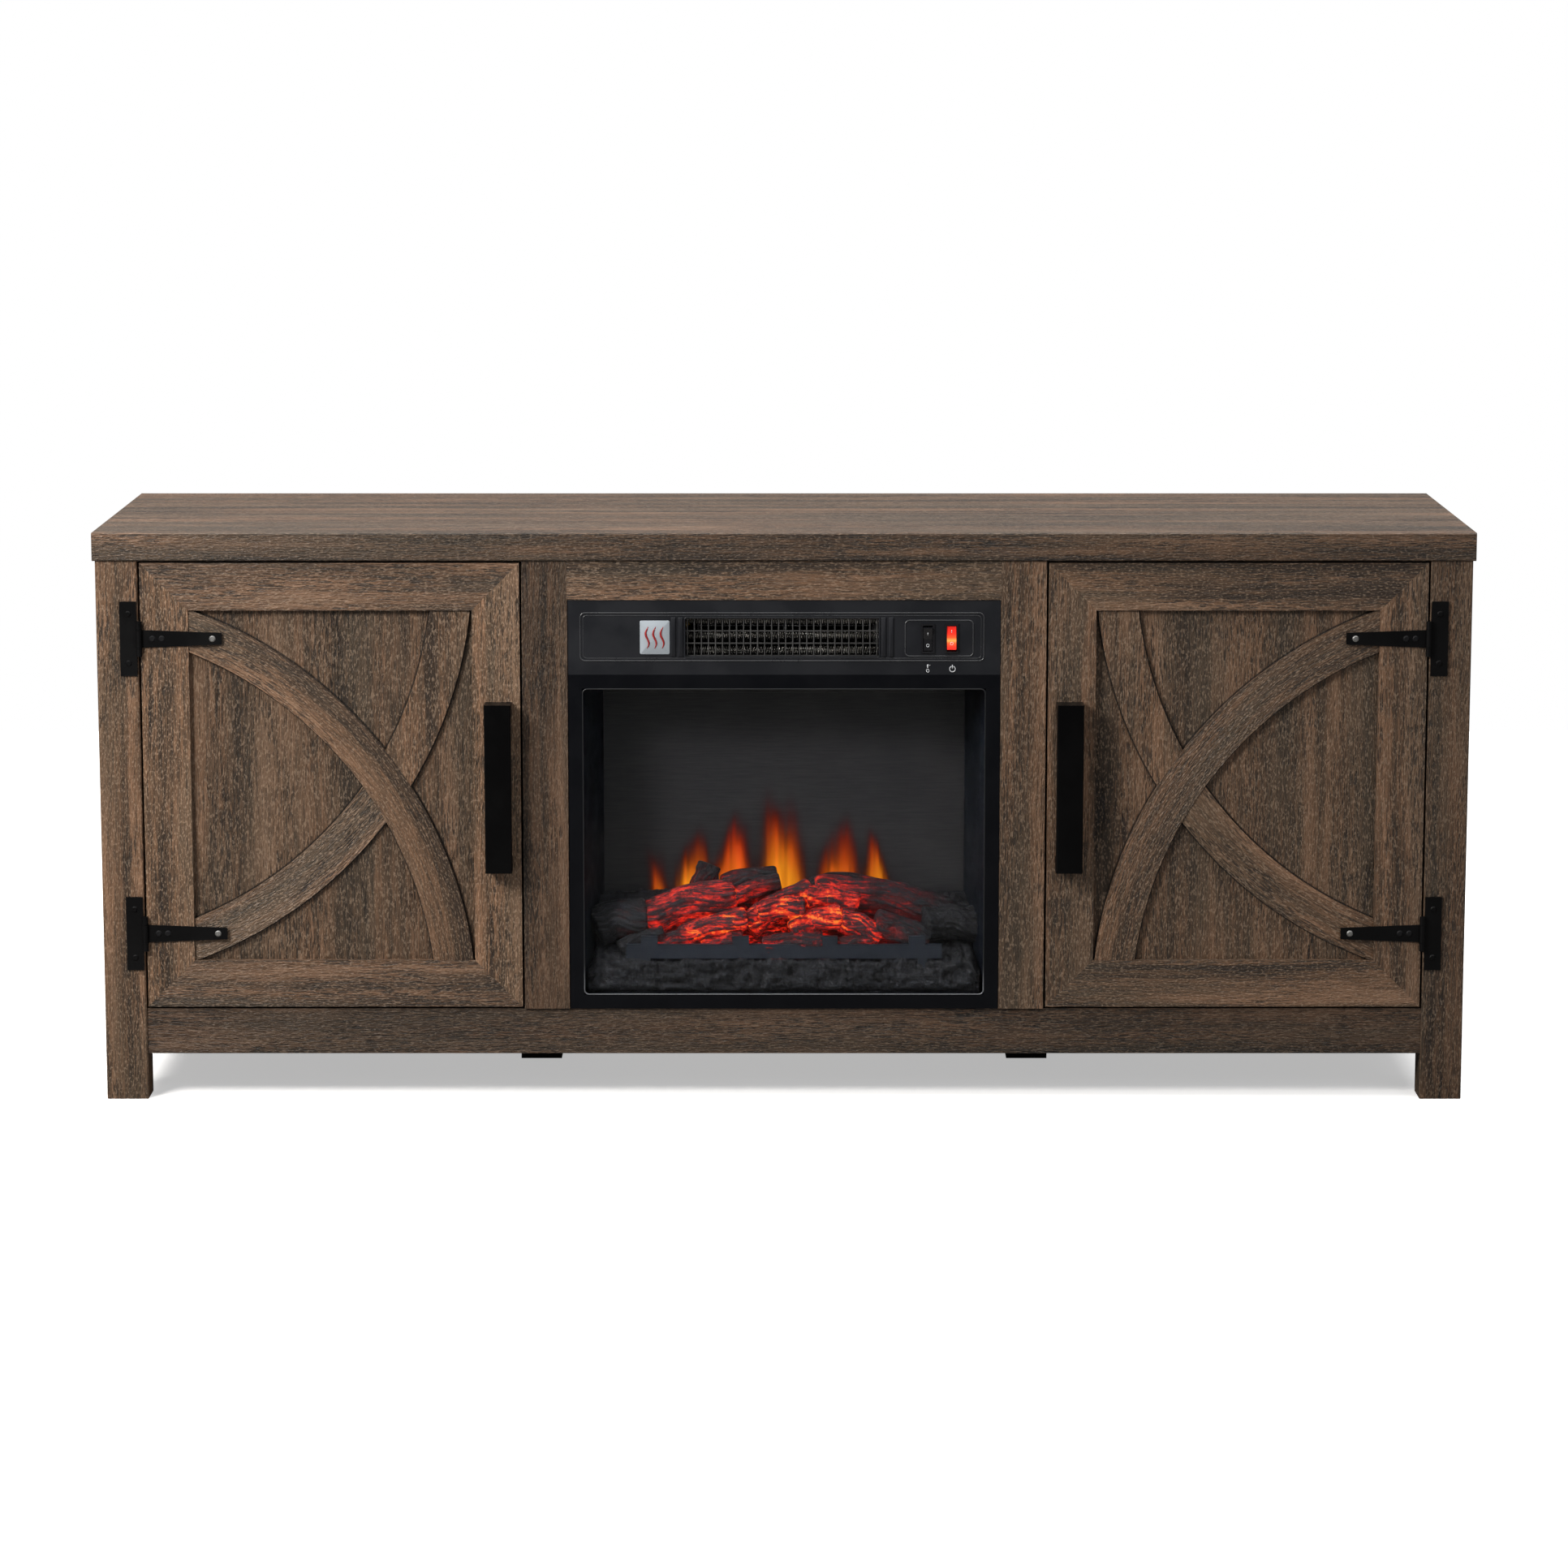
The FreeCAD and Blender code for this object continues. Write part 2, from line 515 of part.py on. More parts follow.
def make_door(side, sign, screws):
    """Grained panel, mitred strips, curved braces, handle, straps and their fixings."""
    low_x, high_x = mirrored(sign, DOOR_IN, DOOR_OUT)
    panel_back = f"{STRIP_BACK} + dims.door_panel_thick"
    node(f"{side}_door_panel", box(f"{side}_door_panel", (low_x, high_x), (STRIP_BACK, panel_back),
                                   (DOOR_LOW, DOOR_TOP)))
    strips = {"rails": [], "stiles": []}
    for name, points in make_strips(side).items():
        if sign > 0:
            points = [(f"{DOOR_WIDE} - ({x})", y) for x, y in points]
        body = padded_body(f"{side}_door_{name}", "XZ_Plane", [points], "dims.strip_thick",
                           (low_x, STRIP_BACK, DOOR_LOW))
        strips["rails" if "rail" in name else "stiles"].append(body)
    for kind, pieces in strips.items():
        node(f"{side}_door_{kind}", group(f"{side}_door_{kind}", pieces))
    make_braces(side, sign)
    make_handle(side, sign)
    fixings = list(screws[side])
    handle_x = handle_middle(sign)
    for index, z in enumerate(("dims.handle_low + dims.handle_foot / 2",
                               "dims.handle_low + dims.handle_long - dims.handle_foot / 2")):
        fixings.append(rod(f"{side}_handle_screw{index}", "y", "dims.fixing_radius",
                           (handle_x, panel_back, z), "dims.fixing_sheet"))
    plate = f"{STILE_OUT} + dims.catch_side"
    fixings.append(box(f"{side}_catch_plate", mirrored(sign, plate, f"{plate} + dims.catch_wide"),
                       (panel_back, f"{panel_back} + dims.fixing_sheet"),
                       (f"{SLAB_LOW} - dims.catch_high", DOOR_TOP)))
    node(f"{side}_door_fixings", group(f"{side}_door_fixings", fixings))


def ring(name, sign, thick, middle_z):
    """Part of a flat ring whose centre lies beyond the door's hinge edge."""
    centre = (door_point(sign, "-dims.brace_centre_out"), f"{STRIP_BACK} - ({thick})", middle_z)
    outer = rod(name + "_outer", "y", "dims.brace_outer", centre, thick)
    inner = rod(name + "_inner", "y", "dims.brace_outer - dims.brace_band", centre, thick)
    return cut(name, outer, [inner])


def make_braces(side, sign):
    """Two arched braces that cross; the second one is in two pieces cut to fit the first."""
    s = "dims.strip_wide"
    span = (f"{DOOR_IN} + {s}", f"{DOOR_OUT} - {s}")
    field = box(f"{side}_brace_field", mirrored(sign, *span), (f"{FACE} - 1", STRIP_BACK),
                (f"{DOOR_LOW} + {s}", f"{DOOR_TOP} - {s}"))
    full = ring(f"{side}_full_ring", sign, "dims.brace_thick", DOOR_LOW)
    node(f"{side}_door_brace", common(f"{side}_door_brace", [full, field]))
    other = ring(f"{side}_half_ring", sign, "dims.half_brace_thick", DOOR_TOP)
    clear = ring(f"{side}_clear_ring", sign, "dims.brace_thick + 1", DOOR_LOW)
    raw = common(f"{side}_half_raw", [other, field])
    node(f"{side}_door_half_braces", cut(f"{side}_door_half_braces", raw, [clear]))


def handle_middle(sign):
    middle = f"({DOOR_IN} + dims.handle_edge + dims.handle_wide / 2)"
    return middle if sign > 0 else f"-{middle}"


def make_handle(side, sign):
    """Flat bar handle that stands off the door on a foot at each end."""
    out = "dims.handle_out"
    long = "dims.handle_long"
    foot = "dims.handle_foot"
    inner = "dims.handle_out - dims.handle_bar"
    profile = [("0", "0"), ("0", foot), (f"-({inner})", foot), (f"-({inner})", f"{long} - {foot}"),
               ("0", f"{long} - {foot}"), ("0", long), (f"-{out}", long), (f"-{out}", "0")]
    body = padded_body(f"{side}_handle", "YZ_Plane", [profile], "dims.handle_wide",
                       (handle_middle(sign), FACE, "dims.handle_low"), midplane=True)
    reach = dim("handle_out")
    half_long = dim("handle_long") / 2
    chamfer(body, Vector(0, 0, 1), "dims.handle_round", "Fillet",
            lambda edge: edge.CenterOfMass.y < FACE_Y - reach + 0.1 and edge.Length > half_long)
    node(f"{side}_handle", body)


# ---------------------------------------------------------------- fireplace insert

def make_control_panel():
    """Upper fascia with the air outlet and two switch cut-outs."""
    wide = HALF_INSERT
    high = "dims.insert_high - dims.glass_frame_high"
    body = padded_body("control_panel", "XZ_Plane", [rectangle(f"-{wide}", 0, wide, high)],
                       "dims.panel_sheet", ("0", f"{INSERT_FACE} + dims.panel_sheet", SEAM))
    low = f"dims.grille_low - {SEAM}"
    pocket(body, "outlet_cut", "XZ_Plane",
           [rectangle("-dims.grille_wide / 2 - dims.grille_left", low,
                      "dims.grille_wide / 2 - dims.grille_left", f"{low} + dims.grille_high")],
           "dims.panel_sheet", True)
    holes = []
    for place in ("switch_low_x", "switch_high_x"):
        x = f"dims.{place}"
        z = f"dims.switch_z - {SEAM}"
        half_wide = "(dims.bezel_hole_wide / 2 + dims.bezel_wall)"
        half_high = "(dims.bezel_hole_high / 2 + dims.bezel_wall)"
        holes.append(rectangle(f"{x} - {half_wide}", f"{z} - {half_high}",
                               f"{x} + {half_wide}", f"{z} + {half_high}"))
    pocket(body, "switch_cuts", "XZ_Plane", holes, "dims.panel_sheet", True)
    node("control_panel", body)


def make_glass_frame():
    """Deep frame round the viewing window, and the pane held behind its lip."""
    wide = HALF_INSERT
    b = "dims.frame_border"
    high = "dims.glass_frame_high"
    window = rectangle(f"{b} - {wide}", b, f"{wide} - {b}", f"{high} - {b}")
    body = padded_body("glass_frame", "XZ_Plane", [rectangle(f"-{wide}", 0, wide, high), window],
                       "dims.frame_deep", ("0", f"{INSERT_FACE} + dims.frame_deep", "dims.base_top"))
    rebate = rectangle(f"{b} - dims.glass_lap - {wide}", f"{b} - dims.glass_lap",
                       f"{wide} - {b} + dims.glass_lap", f"{high} - {b} + dims.glass_lap")
    pocket(body, "glass_rebate", "XZ_Plane", [rebate], "dims.frame_deep - dims.glass_set", True)
    node("glass_frame", body)
    edge = f"{b} - dims.glass_lap + dims.glass_play"
    front = f"{INSERT_FACE} + dims.glass_set"
    node("glass_pane", box("glass_pane", (f"-{wide} + {edge}", f"{wide} - {edge}"),
                           (front, f"{front} + dims.glass_thick"),
                           (f"dims.base_top + {edge}", f"{SEAM} - {edge}")))


HOUSING_BACK = f"({INSERT_FACE} + dims.housing_deep)"
HOUSING_FRONT = f"({INSERT_FACE} + dims.frame_deep)"
HOUSING_TOP = "(dims.base_top + dims.housing_high)"
VENT_SLOTS = 12


def make_housing():
    """Sheet-metal wrapper, open at the front, and the slotted cover behind it."""
    half = "dims.housing_wide / 2"
    high = "dims.housing_high"
    body = padded_body("insert_housing", "XZ_Plane",
                       [rectangle(f"-{half}", 0, half, high),
                        rectangle(f"dims.sheet - {half}", "dims.sheet",
                                  f"{half} - dims.sheet", f"{high} - dims.sheet")],
                       "dims.housing_deep - dims.frame_deep", ("0", HOUSING_BACK, "dims.base_top"))
    node("insert_housing", body)
    cover = box("cover_sheet", (f"-{half}", half), (HOUSING_BACK, f"{HOUSING_BACK} + dims.sheet"),
                ("dims.base_top", HOUSING_TOP))
    slots = []
    through = (f"{HOUSING_BACK} - 1", f"{HOUSING_BACK} + dims.sheet + 1")
    for index in range(VENT_SLOTS):
        x = f"{index - (VENT_SLOTS - 1) / 2} * dims.vent_pitch"
        slots.append(box(f"vent{index}", (f"{x} - dims.vent_wide / 2", f"{x} + dims.vent_wide / 2"), through,
                         ("dims.vent_low", "dims.vent_low + dims.vent_high")))
    gland = ("dims.gland_x", f"{HOUSING_BACK}", "dims.gland_z")
    slots.append(rod("gland_hole", "y", "dims.gland_radius", ("dims.gland_x", through[0], "dims.gland_z"), 4))
    node("rear_cover", cut("rear_cover", cover, slots))
    collar = rod("gland_collar", "y", "dims.gland_flange",
                 ("dims.gland_x", f"{HOUSING_BACK} + dims.sheet", "dims.gland_z"), "dims.gland_lip")
    throat = rod("gland_throat", "y", "dims.gland_radius", gland, "dims.gland_long")
    bore = rod("gland_bore", "y", "dims.gland_bore", ("dims.gland_x", through[0], "dims.gland_z"),
               "dims.gland_long + 2")
    node("cable_gland", cut("cable_gland", fuse("gland_raw", [collar, throat]), [bore]))


CROSS_BARS = 4
CROSS_EDGE = 0.04


def make_grille():
    """Guard of thin upright bars joined to four cross bars, set behind the air outlet."""
    front = f"{INSERT_FACE} + dims.panel_sheet"
    upright = (front, f"{front} + dims.wire")
    cross = (f"{front} + dims.wire / 2", f"{front} + dims.wire * 1.5")
    tall = ("dims.grille_low - dims.wire_lap", "dims.grille_low + dims.grille_high + dims.wire_lap")
    bars = []
    count = int(dim("grille_wide") / dim("wire_pitch"))
    for index in range(count + 1):
        x = f"{index - count / 2} * dims.wire_pitch - dims.grille_left"
        bars.append(box(f"wire{index}", (f"{x} - dims.wire / 2", f"{x} + dims.wire / 2"), upright, tall))
    half = "(dims.grille_wide / 2 + dims.wire_lap)"
    for index in range(CROSS_BARS):
        share = (index + CROSS_EDGE) / (CROSS_BARS - 1 + 2 * CROSS_EDGE)
        z = f"dims.grille_low + dims.grille_high * {share}"
        bars.append(box(f"cross_wire{index}", (f"-{half} - dims.grille_left", f"{half} - dims.grille_left"),
                        cross, (f"{z} - dims.wire / 2", f"{z} + dims.wire / 2")))
    node("heater_grille", fuse("heater_grille", bars))


# Side outline of a rocker about its pivot: a shallow valley in front, a narrow back.
ROCKER_PROFILE = ((-3, 0), (-5.2, 12.4), (0.5, 12.4), (5, 5), (5, -5), (0.5, -12.4), (-5.2, -12.4))


def make_switches():
    """Two rocker switches: a bezel fixed in the panel and a rocker that tips on its pivot."""
    bezels = []
    pivot_y = f"{INSERT_FACE} - dims.bezel_proud + dims.pivot_deep"
    half_wide = "(dims.bezel_hole_wide / 2)"
    half_high = "(dims.bezel_hole_high / 2)"
    wall = "dims.bezel_wall"
    for name, place, sense in (("heat_switch", "switch_low_x", 1), ("power_switch", "switch_high_x", -1)):
        x = f"dims.{place}"
        z = "dims.switch_z"
        front = f"{INSERT_FACE} - dims.bezel_proud"
        flange = box(name + "_flange", (f"{x} - dims.bezel_wide / 2", f"{x} + dims.bezel_wide / 2"),
                     (front, INSERT_FACE), (f"{z} - dims.bezel_high / 2", f"{z} + dims.bezel_high / 2"))
        sleeve = box(name + "_sleeve", (f"{x} - {half_wide} - {wall}", f"{x} + {half_wide} + {wall}"),
                     (INSERT_FACE, f"{INSERT_FACE} + dims.bezel_deep"),
                     (f"{z} - {half_high} - {wall}", f"{z} + {half_high} + {wall}"))
        hole = box(name + "_hole", (f"{x} - {half_wide}", f"{x} + {half_wide}"),
                   (f"{front} - 1", f"{INSERT_FACE} + dims.bezel_deep - dims.bezel_floor"),
                   (f"{z} - {half_high}", f"{z} + {half_high}"))
        bezels.append(cut(name + "_bezel", fuse(name + "_bezel_raw", [flange, sleeve]), [hole]))
        rocker = padded_body(name, "YZ_Plane", [ROCKER_PROFILE], "dims.rocker_wide",
                             (x, pivot_y, z), midplane=True)
        rocker.Placement = FreeCAD.Placement(rocker.Placement.Base, FreeCAD.Rotation(
            Vector(1, 0, 0), sense * dim("rocker_tilt")))
        node(name, rocker)
    node("switch_bezels", group("switch_bezels", bezels))


COILS = 3
BLADES = 20
TABS = 19
GOLDEN_ANGLE = 137.5
MOUTH = f"({INSERT_FACE} + dims.panel_sheet + dims.duct_gap)"
BLOWER_Y = f"({INSERT_FACE} + dims.blower_back)"
ROTOR_Y = f"({INSERT_FACE} + dims.rotor_back)"


def make_heater():
    """Air duct with the coil element at its mouth, in front of the crossflow blower."""
    half = "dims.duct_half"
    deep = (MOUTH, f"{MOUTH} + dims.duct_deep")
    back = f"{BLOWER_Y} - dims.blower_radius - dims.duct_gap"
    top = box("duct_top", (f"-{half}", half), (MOUTH, back), ("dims.duct_top - dims.sheet", "dims.duct_top"))
    floor = box("duct_floor", (f"-{half}", half), deep, ("dims.duct_low", "dims.duct_low + dims.sheet"))
    tall = ("dims.duct_low", "dims.duct_top")
    walls = [box("duct_wall_left", (f"-{half}", f"dims.sheet - {half}"), deep, tall),
             box("duct_wall_right", (f"{half} - dims.sheet", half), deep, tall)]
    node("air_duct", fuse("air_duct", [top, floor] + walls))
    coil_y = f"{MOUTH} + dims.coil_back"
    pieces = []
    for side in (-1, 1):
        x = f"{side} * dims.coil_half"
        pieces.append(box(f"mica_end{side}", (f"{x} - dims.mica_thick / 2", f"{x} + dims.mica_thick / 2"),
                          (f"{coil_y} - dims.mica_deep / 2", f"{coil_y} + dims.mica_deep / 2"),
                          ("dims.duct_low + 2 * dims.sheet", "dims.duct_top - 2 * dims.sheet")))
    for index in range(COILS):
        pieces.append(rod(f"coil{index}", "x", "dims.coil_radius",
                          ("-dims.coil_half", coil_y, f"dims.coil_low + {index} * dims.coil_pitch"),
                          "2 * dims.coil_half"))
    node("heating_element", fuse("heating_element", pieces))


def make_blower():
    """Crossflow wheel: blades between three discs on a shaft along X."""
    body = doc.addObject("PartDesign::Body", "blower_wheel")
    disc = body.newObject("PartDesign::Pad", "blower_disc")
    disc.Profile = new_sketch(body, "disc_outline", "YZ_Plane", [], [(("0", "0"), "dims.blower_radius")])
    disc.setExpression("Length", "dims.disc_thick")
    disc.Midplane = True
    doc.recompute()
    blade = body.newObject("PartDesign::Pad", "blower_blade")
    blade.Profile = new_sketch(body, "blade_outline", "YZ_Plane",
                               [rectangle("dims.blower_radius - dims.blade_deep", "-dims.blade_thick / 2",
                                          "dims.blower_radius", "dims.blade_thick / 2")])
    blade.setExpression("Length", "dims.blower_long")
    blade.Midplane = True
    doc.recompute()
    pattern = body.newObject("PartDesign::PolarPattern", "blades")
    pattern.Originals = [blade]
    pattern.Axis = (plane_of(body, "X_Axis"), [""])
    pattern.Angle = 360
    pattern.Occurrences = BLADES
    body.Tip = pattern
    doc.recompute()
    for letter, value in zip("xyz", ("0", BLOWER_Y, "dims.blower_z")):
        body.setExpression(f"Placement.Base.{letter}", value)
    half = "dims.blower_long / 2"
    ends = [rod(f"blower_end{index}", "x", "dims.blower_radius",
                (x, BLOWER_Y, "dims.blower_z"), "dims.disc_thick")
            for index, x in enumerate((f"-{half}", f"{half} - dims.disc_thick"))]
    shaft = rod("blower_shaft", "x", "dims.shaft_radius",
                (f"-{half} - dims.shaft_left", BLOWER_Y, "dims.blower_z"),
                "dims.blower_long + dims.shaft_left + dims.shaft_right")
    node("blower_wheel", fuse("blower_wheel_parts", [body, shaft] + ends))


def make_rotor():
    """Flame rotor: a long rod with thin reflector tabs turned by the golden angle."""
    parts = [rod("rotor_rod", "x", "dims.rotor_radius", ("-dims.rotor_long / 2", ROTOR_Y, "dims.rotor_z"),
                 "dims.rotor_long")]
    for index in range(TABS):
        tab = doc.addObject("Part::Box", f"tab{index}")
        for size, alias in (("Length", "tab_long"), ("Width", "tab_thick"), ("Height", "tab_wide")):
            tab.setExpression(size, f"dims.{alias}")
        turn = FreeCAD.Rotation(Vector(1, 0, 0), GOLDEN_ANGLE * index)
        corner = turn.multVec(Vector(0, -dim("tab_thick") / 2, 1))
        share = (index - (TABS - 1) / 2) / TABS
        tab.Placement = FreeCAD.Placement(Vector(), turn)
        for letter, value in zip("xyz", (
                f"{share} * (dims.rotor_long - dims.tab_margin) - dims.tab_long / 2",
                f"{ROTOR_Y} + {corner.y}", f"dims.rotor_z + {corner.z}")):
            tab.setExpression(f"Placement.Base.{letter}", value)
        parts.append(tab)
    node("flame_rotor", fuse("flame_rotor", parts))


def make_drive(name, y, z, shaft, motor_x, bush_x):
    """A motor block bored for one end of a shaft, and the bush for its other end."""
    hold = f"{shaft} + dims.pin_play"
    size = "dims.motor_half"
    block = box(name + "_motor_block", (motor_x, f"{motor_x} + dims.motor_long"),
                (f"{y} - {size}", f"{y} + {size}"), (f"{z} - {size}", f"{z} + {size}"))
    bore = rod(name + "_motor_bore", "x", hold, (f"{motor_x} - 1", y, z), "dims.motor_long + 2")
    body = rod(name + "_bush_body", "x", "dims.bush_radius", (bush_x, y, z), "dims.bush_long")
    hole = rod(name + "_bush_bore", "x", hold, (f"{bush_x} - 1", y, z), "dims.bush_long + 2")
    return cut(name + "_motor", block, [bore]), cut(name + "_bush", body, [hole])


def make_drives():
    """Motor at the right end and bush at the left end of the blower shaft and of the flame rotor."""
    blower_end = "dims.blower_long / 2"
    rotor_end = "dims.rotor_long / 2"
    drives = [
        make_drive("blower", BLOWER_Y, "dims.blower_z", "dims.shaft_radius",
                   f"{blower_end} + dims.disc_thick", f"-{blower_end} - 2 * dims.bush_long"),
        make_drive("rotor", ROTOR_Y, "dims.rotor_z", "dims.rotor_radius",
                   f"{rotor_end} - dims.motor_long / 2", f"-{rotor_end}"),
    ]
    node("drive_motors", group("drive_motors", [motor for motor, bush in drives]))
    node("shaft_bushes", group("shaft_bushes", [bush for motor, bush in drives]))


def make_flame_screen():
    half = "(dims.housing_wide / 2 - dims.sheet)"
    front = f"{INSERT_FACE} + dims.screen_back"
    node("flame_screen", box("flame_screen", (f"-{half}", half), (front, f"{front} + dims.screen_thick"),
                             ("dims.base_top + dims.sheet", "dims.screen_top")))


LIGHTS = 12


def make_light_board():
    """Light board on the housing floor behind the screen, with a row of lamps."""
    front = f"{INSERT_FACE} + dims.screen_back + dims.board_gap"
    floor = "dims.base_top + dims.sheet"
    top = f"{floor} + dims.board_thick"
    parts = [box("board_sheet", ("-dims.board_half", "dims.board_half"), (front, f"{front} + dims.board_deep"),
                 (floor, top))]
    for index in range(LIGHTS):
        x = f"{index - (LIGHTS - 1) / 2} * dims.lamp_pitch"
        parts.append(box(f"lamp{index}", (f"{x} - dims.lamp_wide / 2", f"{x} + dims.lamp_wide / 2"),
                         (f"{front} + dims.lamp_wide", f"{front} + 2 * dims.lamp_wide"),
                         (top, f"{top} + dims.lamp_high")))
    node("light_board", fuse("light_board", parts))


# Each log: its two end points (from the middle of the bed's front edge) and its radius.
LOGS = (
    ((-206, 34, 30), (-92, 38, 78), 24),
    ((206, 36, 30), (86, 40, 74), 24),
    ((-120, 52, 66), (28, 50, 100), 22),
    ((132, 50, 64), (-6, 56, 96), 21),
    ((-92, 30, 44), (96, 30, 40), 20),
    ((-60, 40, 50), (-38, 56, 116), 19),
    ((40, 56, 60), (66, 48, 110), 18),
)


def make_logs():
    """Ember bed with a heap of round logs on it, moulded as one piece."""
    front = f"({INSERT_FACE} + dims.bed_front)"
    back = f"{front} + dims.bed_deep"
    parts = [box("ember_bed", ("-dims.bed_wide / 2", "dims.bed_wide / 2"), (front, back),
                 ("dims.base_top + dims.sheet", "dims.bed_low + dims.bed_high"))]
    for index, (start, stop, radius) in enumerate(LOGS):
        log = doc.addObject("Part::Cylinder", f"log{index}")
        run = Vector(*stop) - Vector(*start)
        log.Radius = radius
        log.Height = run.Length
        log.Placement = FreeCAD.Placement(Vector(), FreeCAD.Rotation(Vector(0, 0, 1), run))
        along, behind, up = start
        for letter, value in zip("xyz", (f"{along}", f"{front} + {behind}", f"dims.bed_low + {up}")):
            log.setExpression(f"Placement.Base.{letter}", value)
        parts.append(log)
    heap = fuse("log_heap", parts)
    room = box("log_room", ("-dims.housing_wide / 2", "dims.housing_wide / 2"), (front, back),
               ("dims.base_top + dims.sheet", SEAM))
    node("log_set", common("log_set", [heap, room]))


GRATE_POSTS = (-146, -47, 49, 144)


def make_grate():
    """Bar across the front of the logs, with four short upstands and two feet."""
    front = f"{INSERT_FACE} + dims.grate_front"
    depth = (front, f"{front} + dims.grate_thick")
    half = "dims.grate_wide / 2"
    bar_top = "dims.grate_low + dims.grate_high"
    parts = [box("grate_bar", (f"-{half}", half), depth, ("dims.grate_low", bar_top))]
    for index, x in enumerate(GRATE_POSTS):
        span = (f"{x} - dims.post_wide / 2", f"{x} + dims.post_wide / 2")
        parts.append(box(f"grate_post{index}", span, depth, (bar_top, f"{bar_top} + dims.post_high")))
    for side in (-1, 1):
        x = f"{side} * dims.grate_foot_x"
        span = (f"{x} - dims.grate_foot_wide / 2", f"{x} + dims.grate_foot_wide / 2")
        parts.append(box(f"grate_foot{side}", span, depth, ("dims.base_top + dims.sheet", "dims.grate_low")))
    node("fire_grate", fuse("fire_grate", parts))


doc.recompute()
probe = box("probe", ("0", "1"), (FACE, f"{FACE} + 1"), ("0", "1"))
doc.recompute()
FACE_Y = probe.Placement.Base.y
doc.removeObject("probe")

make_top()
make_legs()
make_uprights()
make_front_frame()
make_bottom()
make_shelves()
make_backs()
make_feet()
make_catches()
door_screws = make_hinges()
for door_side, door_sign in SIDES:
    make_door(door_side, door_sign, door_screws)
make_control_panel()
make_glass_frame()
make_housing()
make_grille()
make_switches()
make_heater()
make_blower()
make_rotor()
make_drives()
make_flame_screen()
make_light_board()
make_logs()
make_grate()
doc.recompute()

for item in doc.Objects:
    if "Invalid" in item.State or "Error" in item.State:
        raise RuntimeError(f"{item.Label}: {item.State}")
for label, piece in nodes.items():
    if piece.Shape.isNull() or not piece.Shape.isValid() or not piece.Shape.Solids:
        raise RuntimeError(f"{label} has no valid solid")

os.makedirs("parts", exist_ok=True)
for label, piece in nodes.items():
    piece.Shape.exportStep(os.path.join("parts", label + ".step"))
print(len(nodes), "nodes")
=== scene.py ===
"""Looks of the rustic TV stand with its electric fireplace: finishes, glass, fire and lighting.

Frame: metres, +Z up, the front faces -Y, +X is the right side seen from the front.
"""
import math
import bpy
import numpy as np
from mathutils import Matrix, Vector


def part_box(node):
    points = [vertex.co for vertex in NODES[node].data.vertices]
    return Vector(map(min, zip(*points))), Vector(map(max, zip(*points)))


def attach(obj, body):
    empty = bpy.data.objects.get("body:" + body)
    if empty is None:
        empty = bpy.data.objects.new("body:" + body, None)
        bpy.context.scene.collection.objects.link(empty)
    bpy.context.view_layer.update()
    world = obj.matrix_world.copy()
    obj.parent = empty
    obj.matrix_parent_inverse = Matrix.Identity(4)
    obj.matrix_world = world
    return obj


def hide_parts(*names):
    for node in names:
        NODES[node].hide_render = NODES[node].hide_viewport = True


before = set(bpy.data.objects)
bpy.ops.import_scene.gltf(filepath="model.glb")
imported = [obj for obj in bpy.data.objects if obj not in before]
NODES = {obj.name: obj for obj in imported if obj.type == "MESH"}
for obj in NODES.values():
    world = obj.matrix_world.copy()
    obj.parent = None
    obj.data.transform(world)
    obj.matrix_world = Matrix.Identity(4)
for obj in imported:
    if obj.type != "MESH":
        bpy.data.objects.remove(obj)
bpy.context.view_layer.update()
MM = 0.001
SIDES = (("left", -1), ("right", 1))


# ---------------------------------------------------------------- places from the model, in millimetres

def low_high(node):
    """A node's lowest and highest corner."""
    low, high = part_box(node)
    return np.array(low) / MM, np.array(high) / MM


def around(node, left, right, below, above):
    """Sides ((x, x), (z, z)) of a rectangle that reaches so far past a node's box, or inside it below 0."""
    low, high = low_high(node)
    return (low[0] - left, high[0] + right), (low[2] - below, high[2] + above)


DOOR_LOW, DOOR_HIGH = low_high("right_door_panel")
FRAME_LOW, FRAME_HIGH = low_high("glass_frame")
SCREEN_LOW, SCREEN_HIGH = low_high("flame_screen")
PANE_LOW, PANE_HIGH = low_high("glass_pane")
GUARD_LOW, GUARD_HIGH = low_high("heater_grille")
COIL_LOW, COIL_HIGH = low_high("heating_element")
LOGS_LOW, LOGS_HIGH = low_high("log_set")
GRATE_LOW, GRATE_HIGH = low_high("fire_grate")
FACIA = low_high("control_panel")[0][1]

# The braces' arches: outer radius, width, and how far past the panel's outer edge their centre lies.
BRACE_RADIUS = 459.7
BRACE_BAND = 42.7
BRACE_CENTRE = DOOR_HIGH[0] + 105.25


# ---------------------------------------------------------------- shader helpers

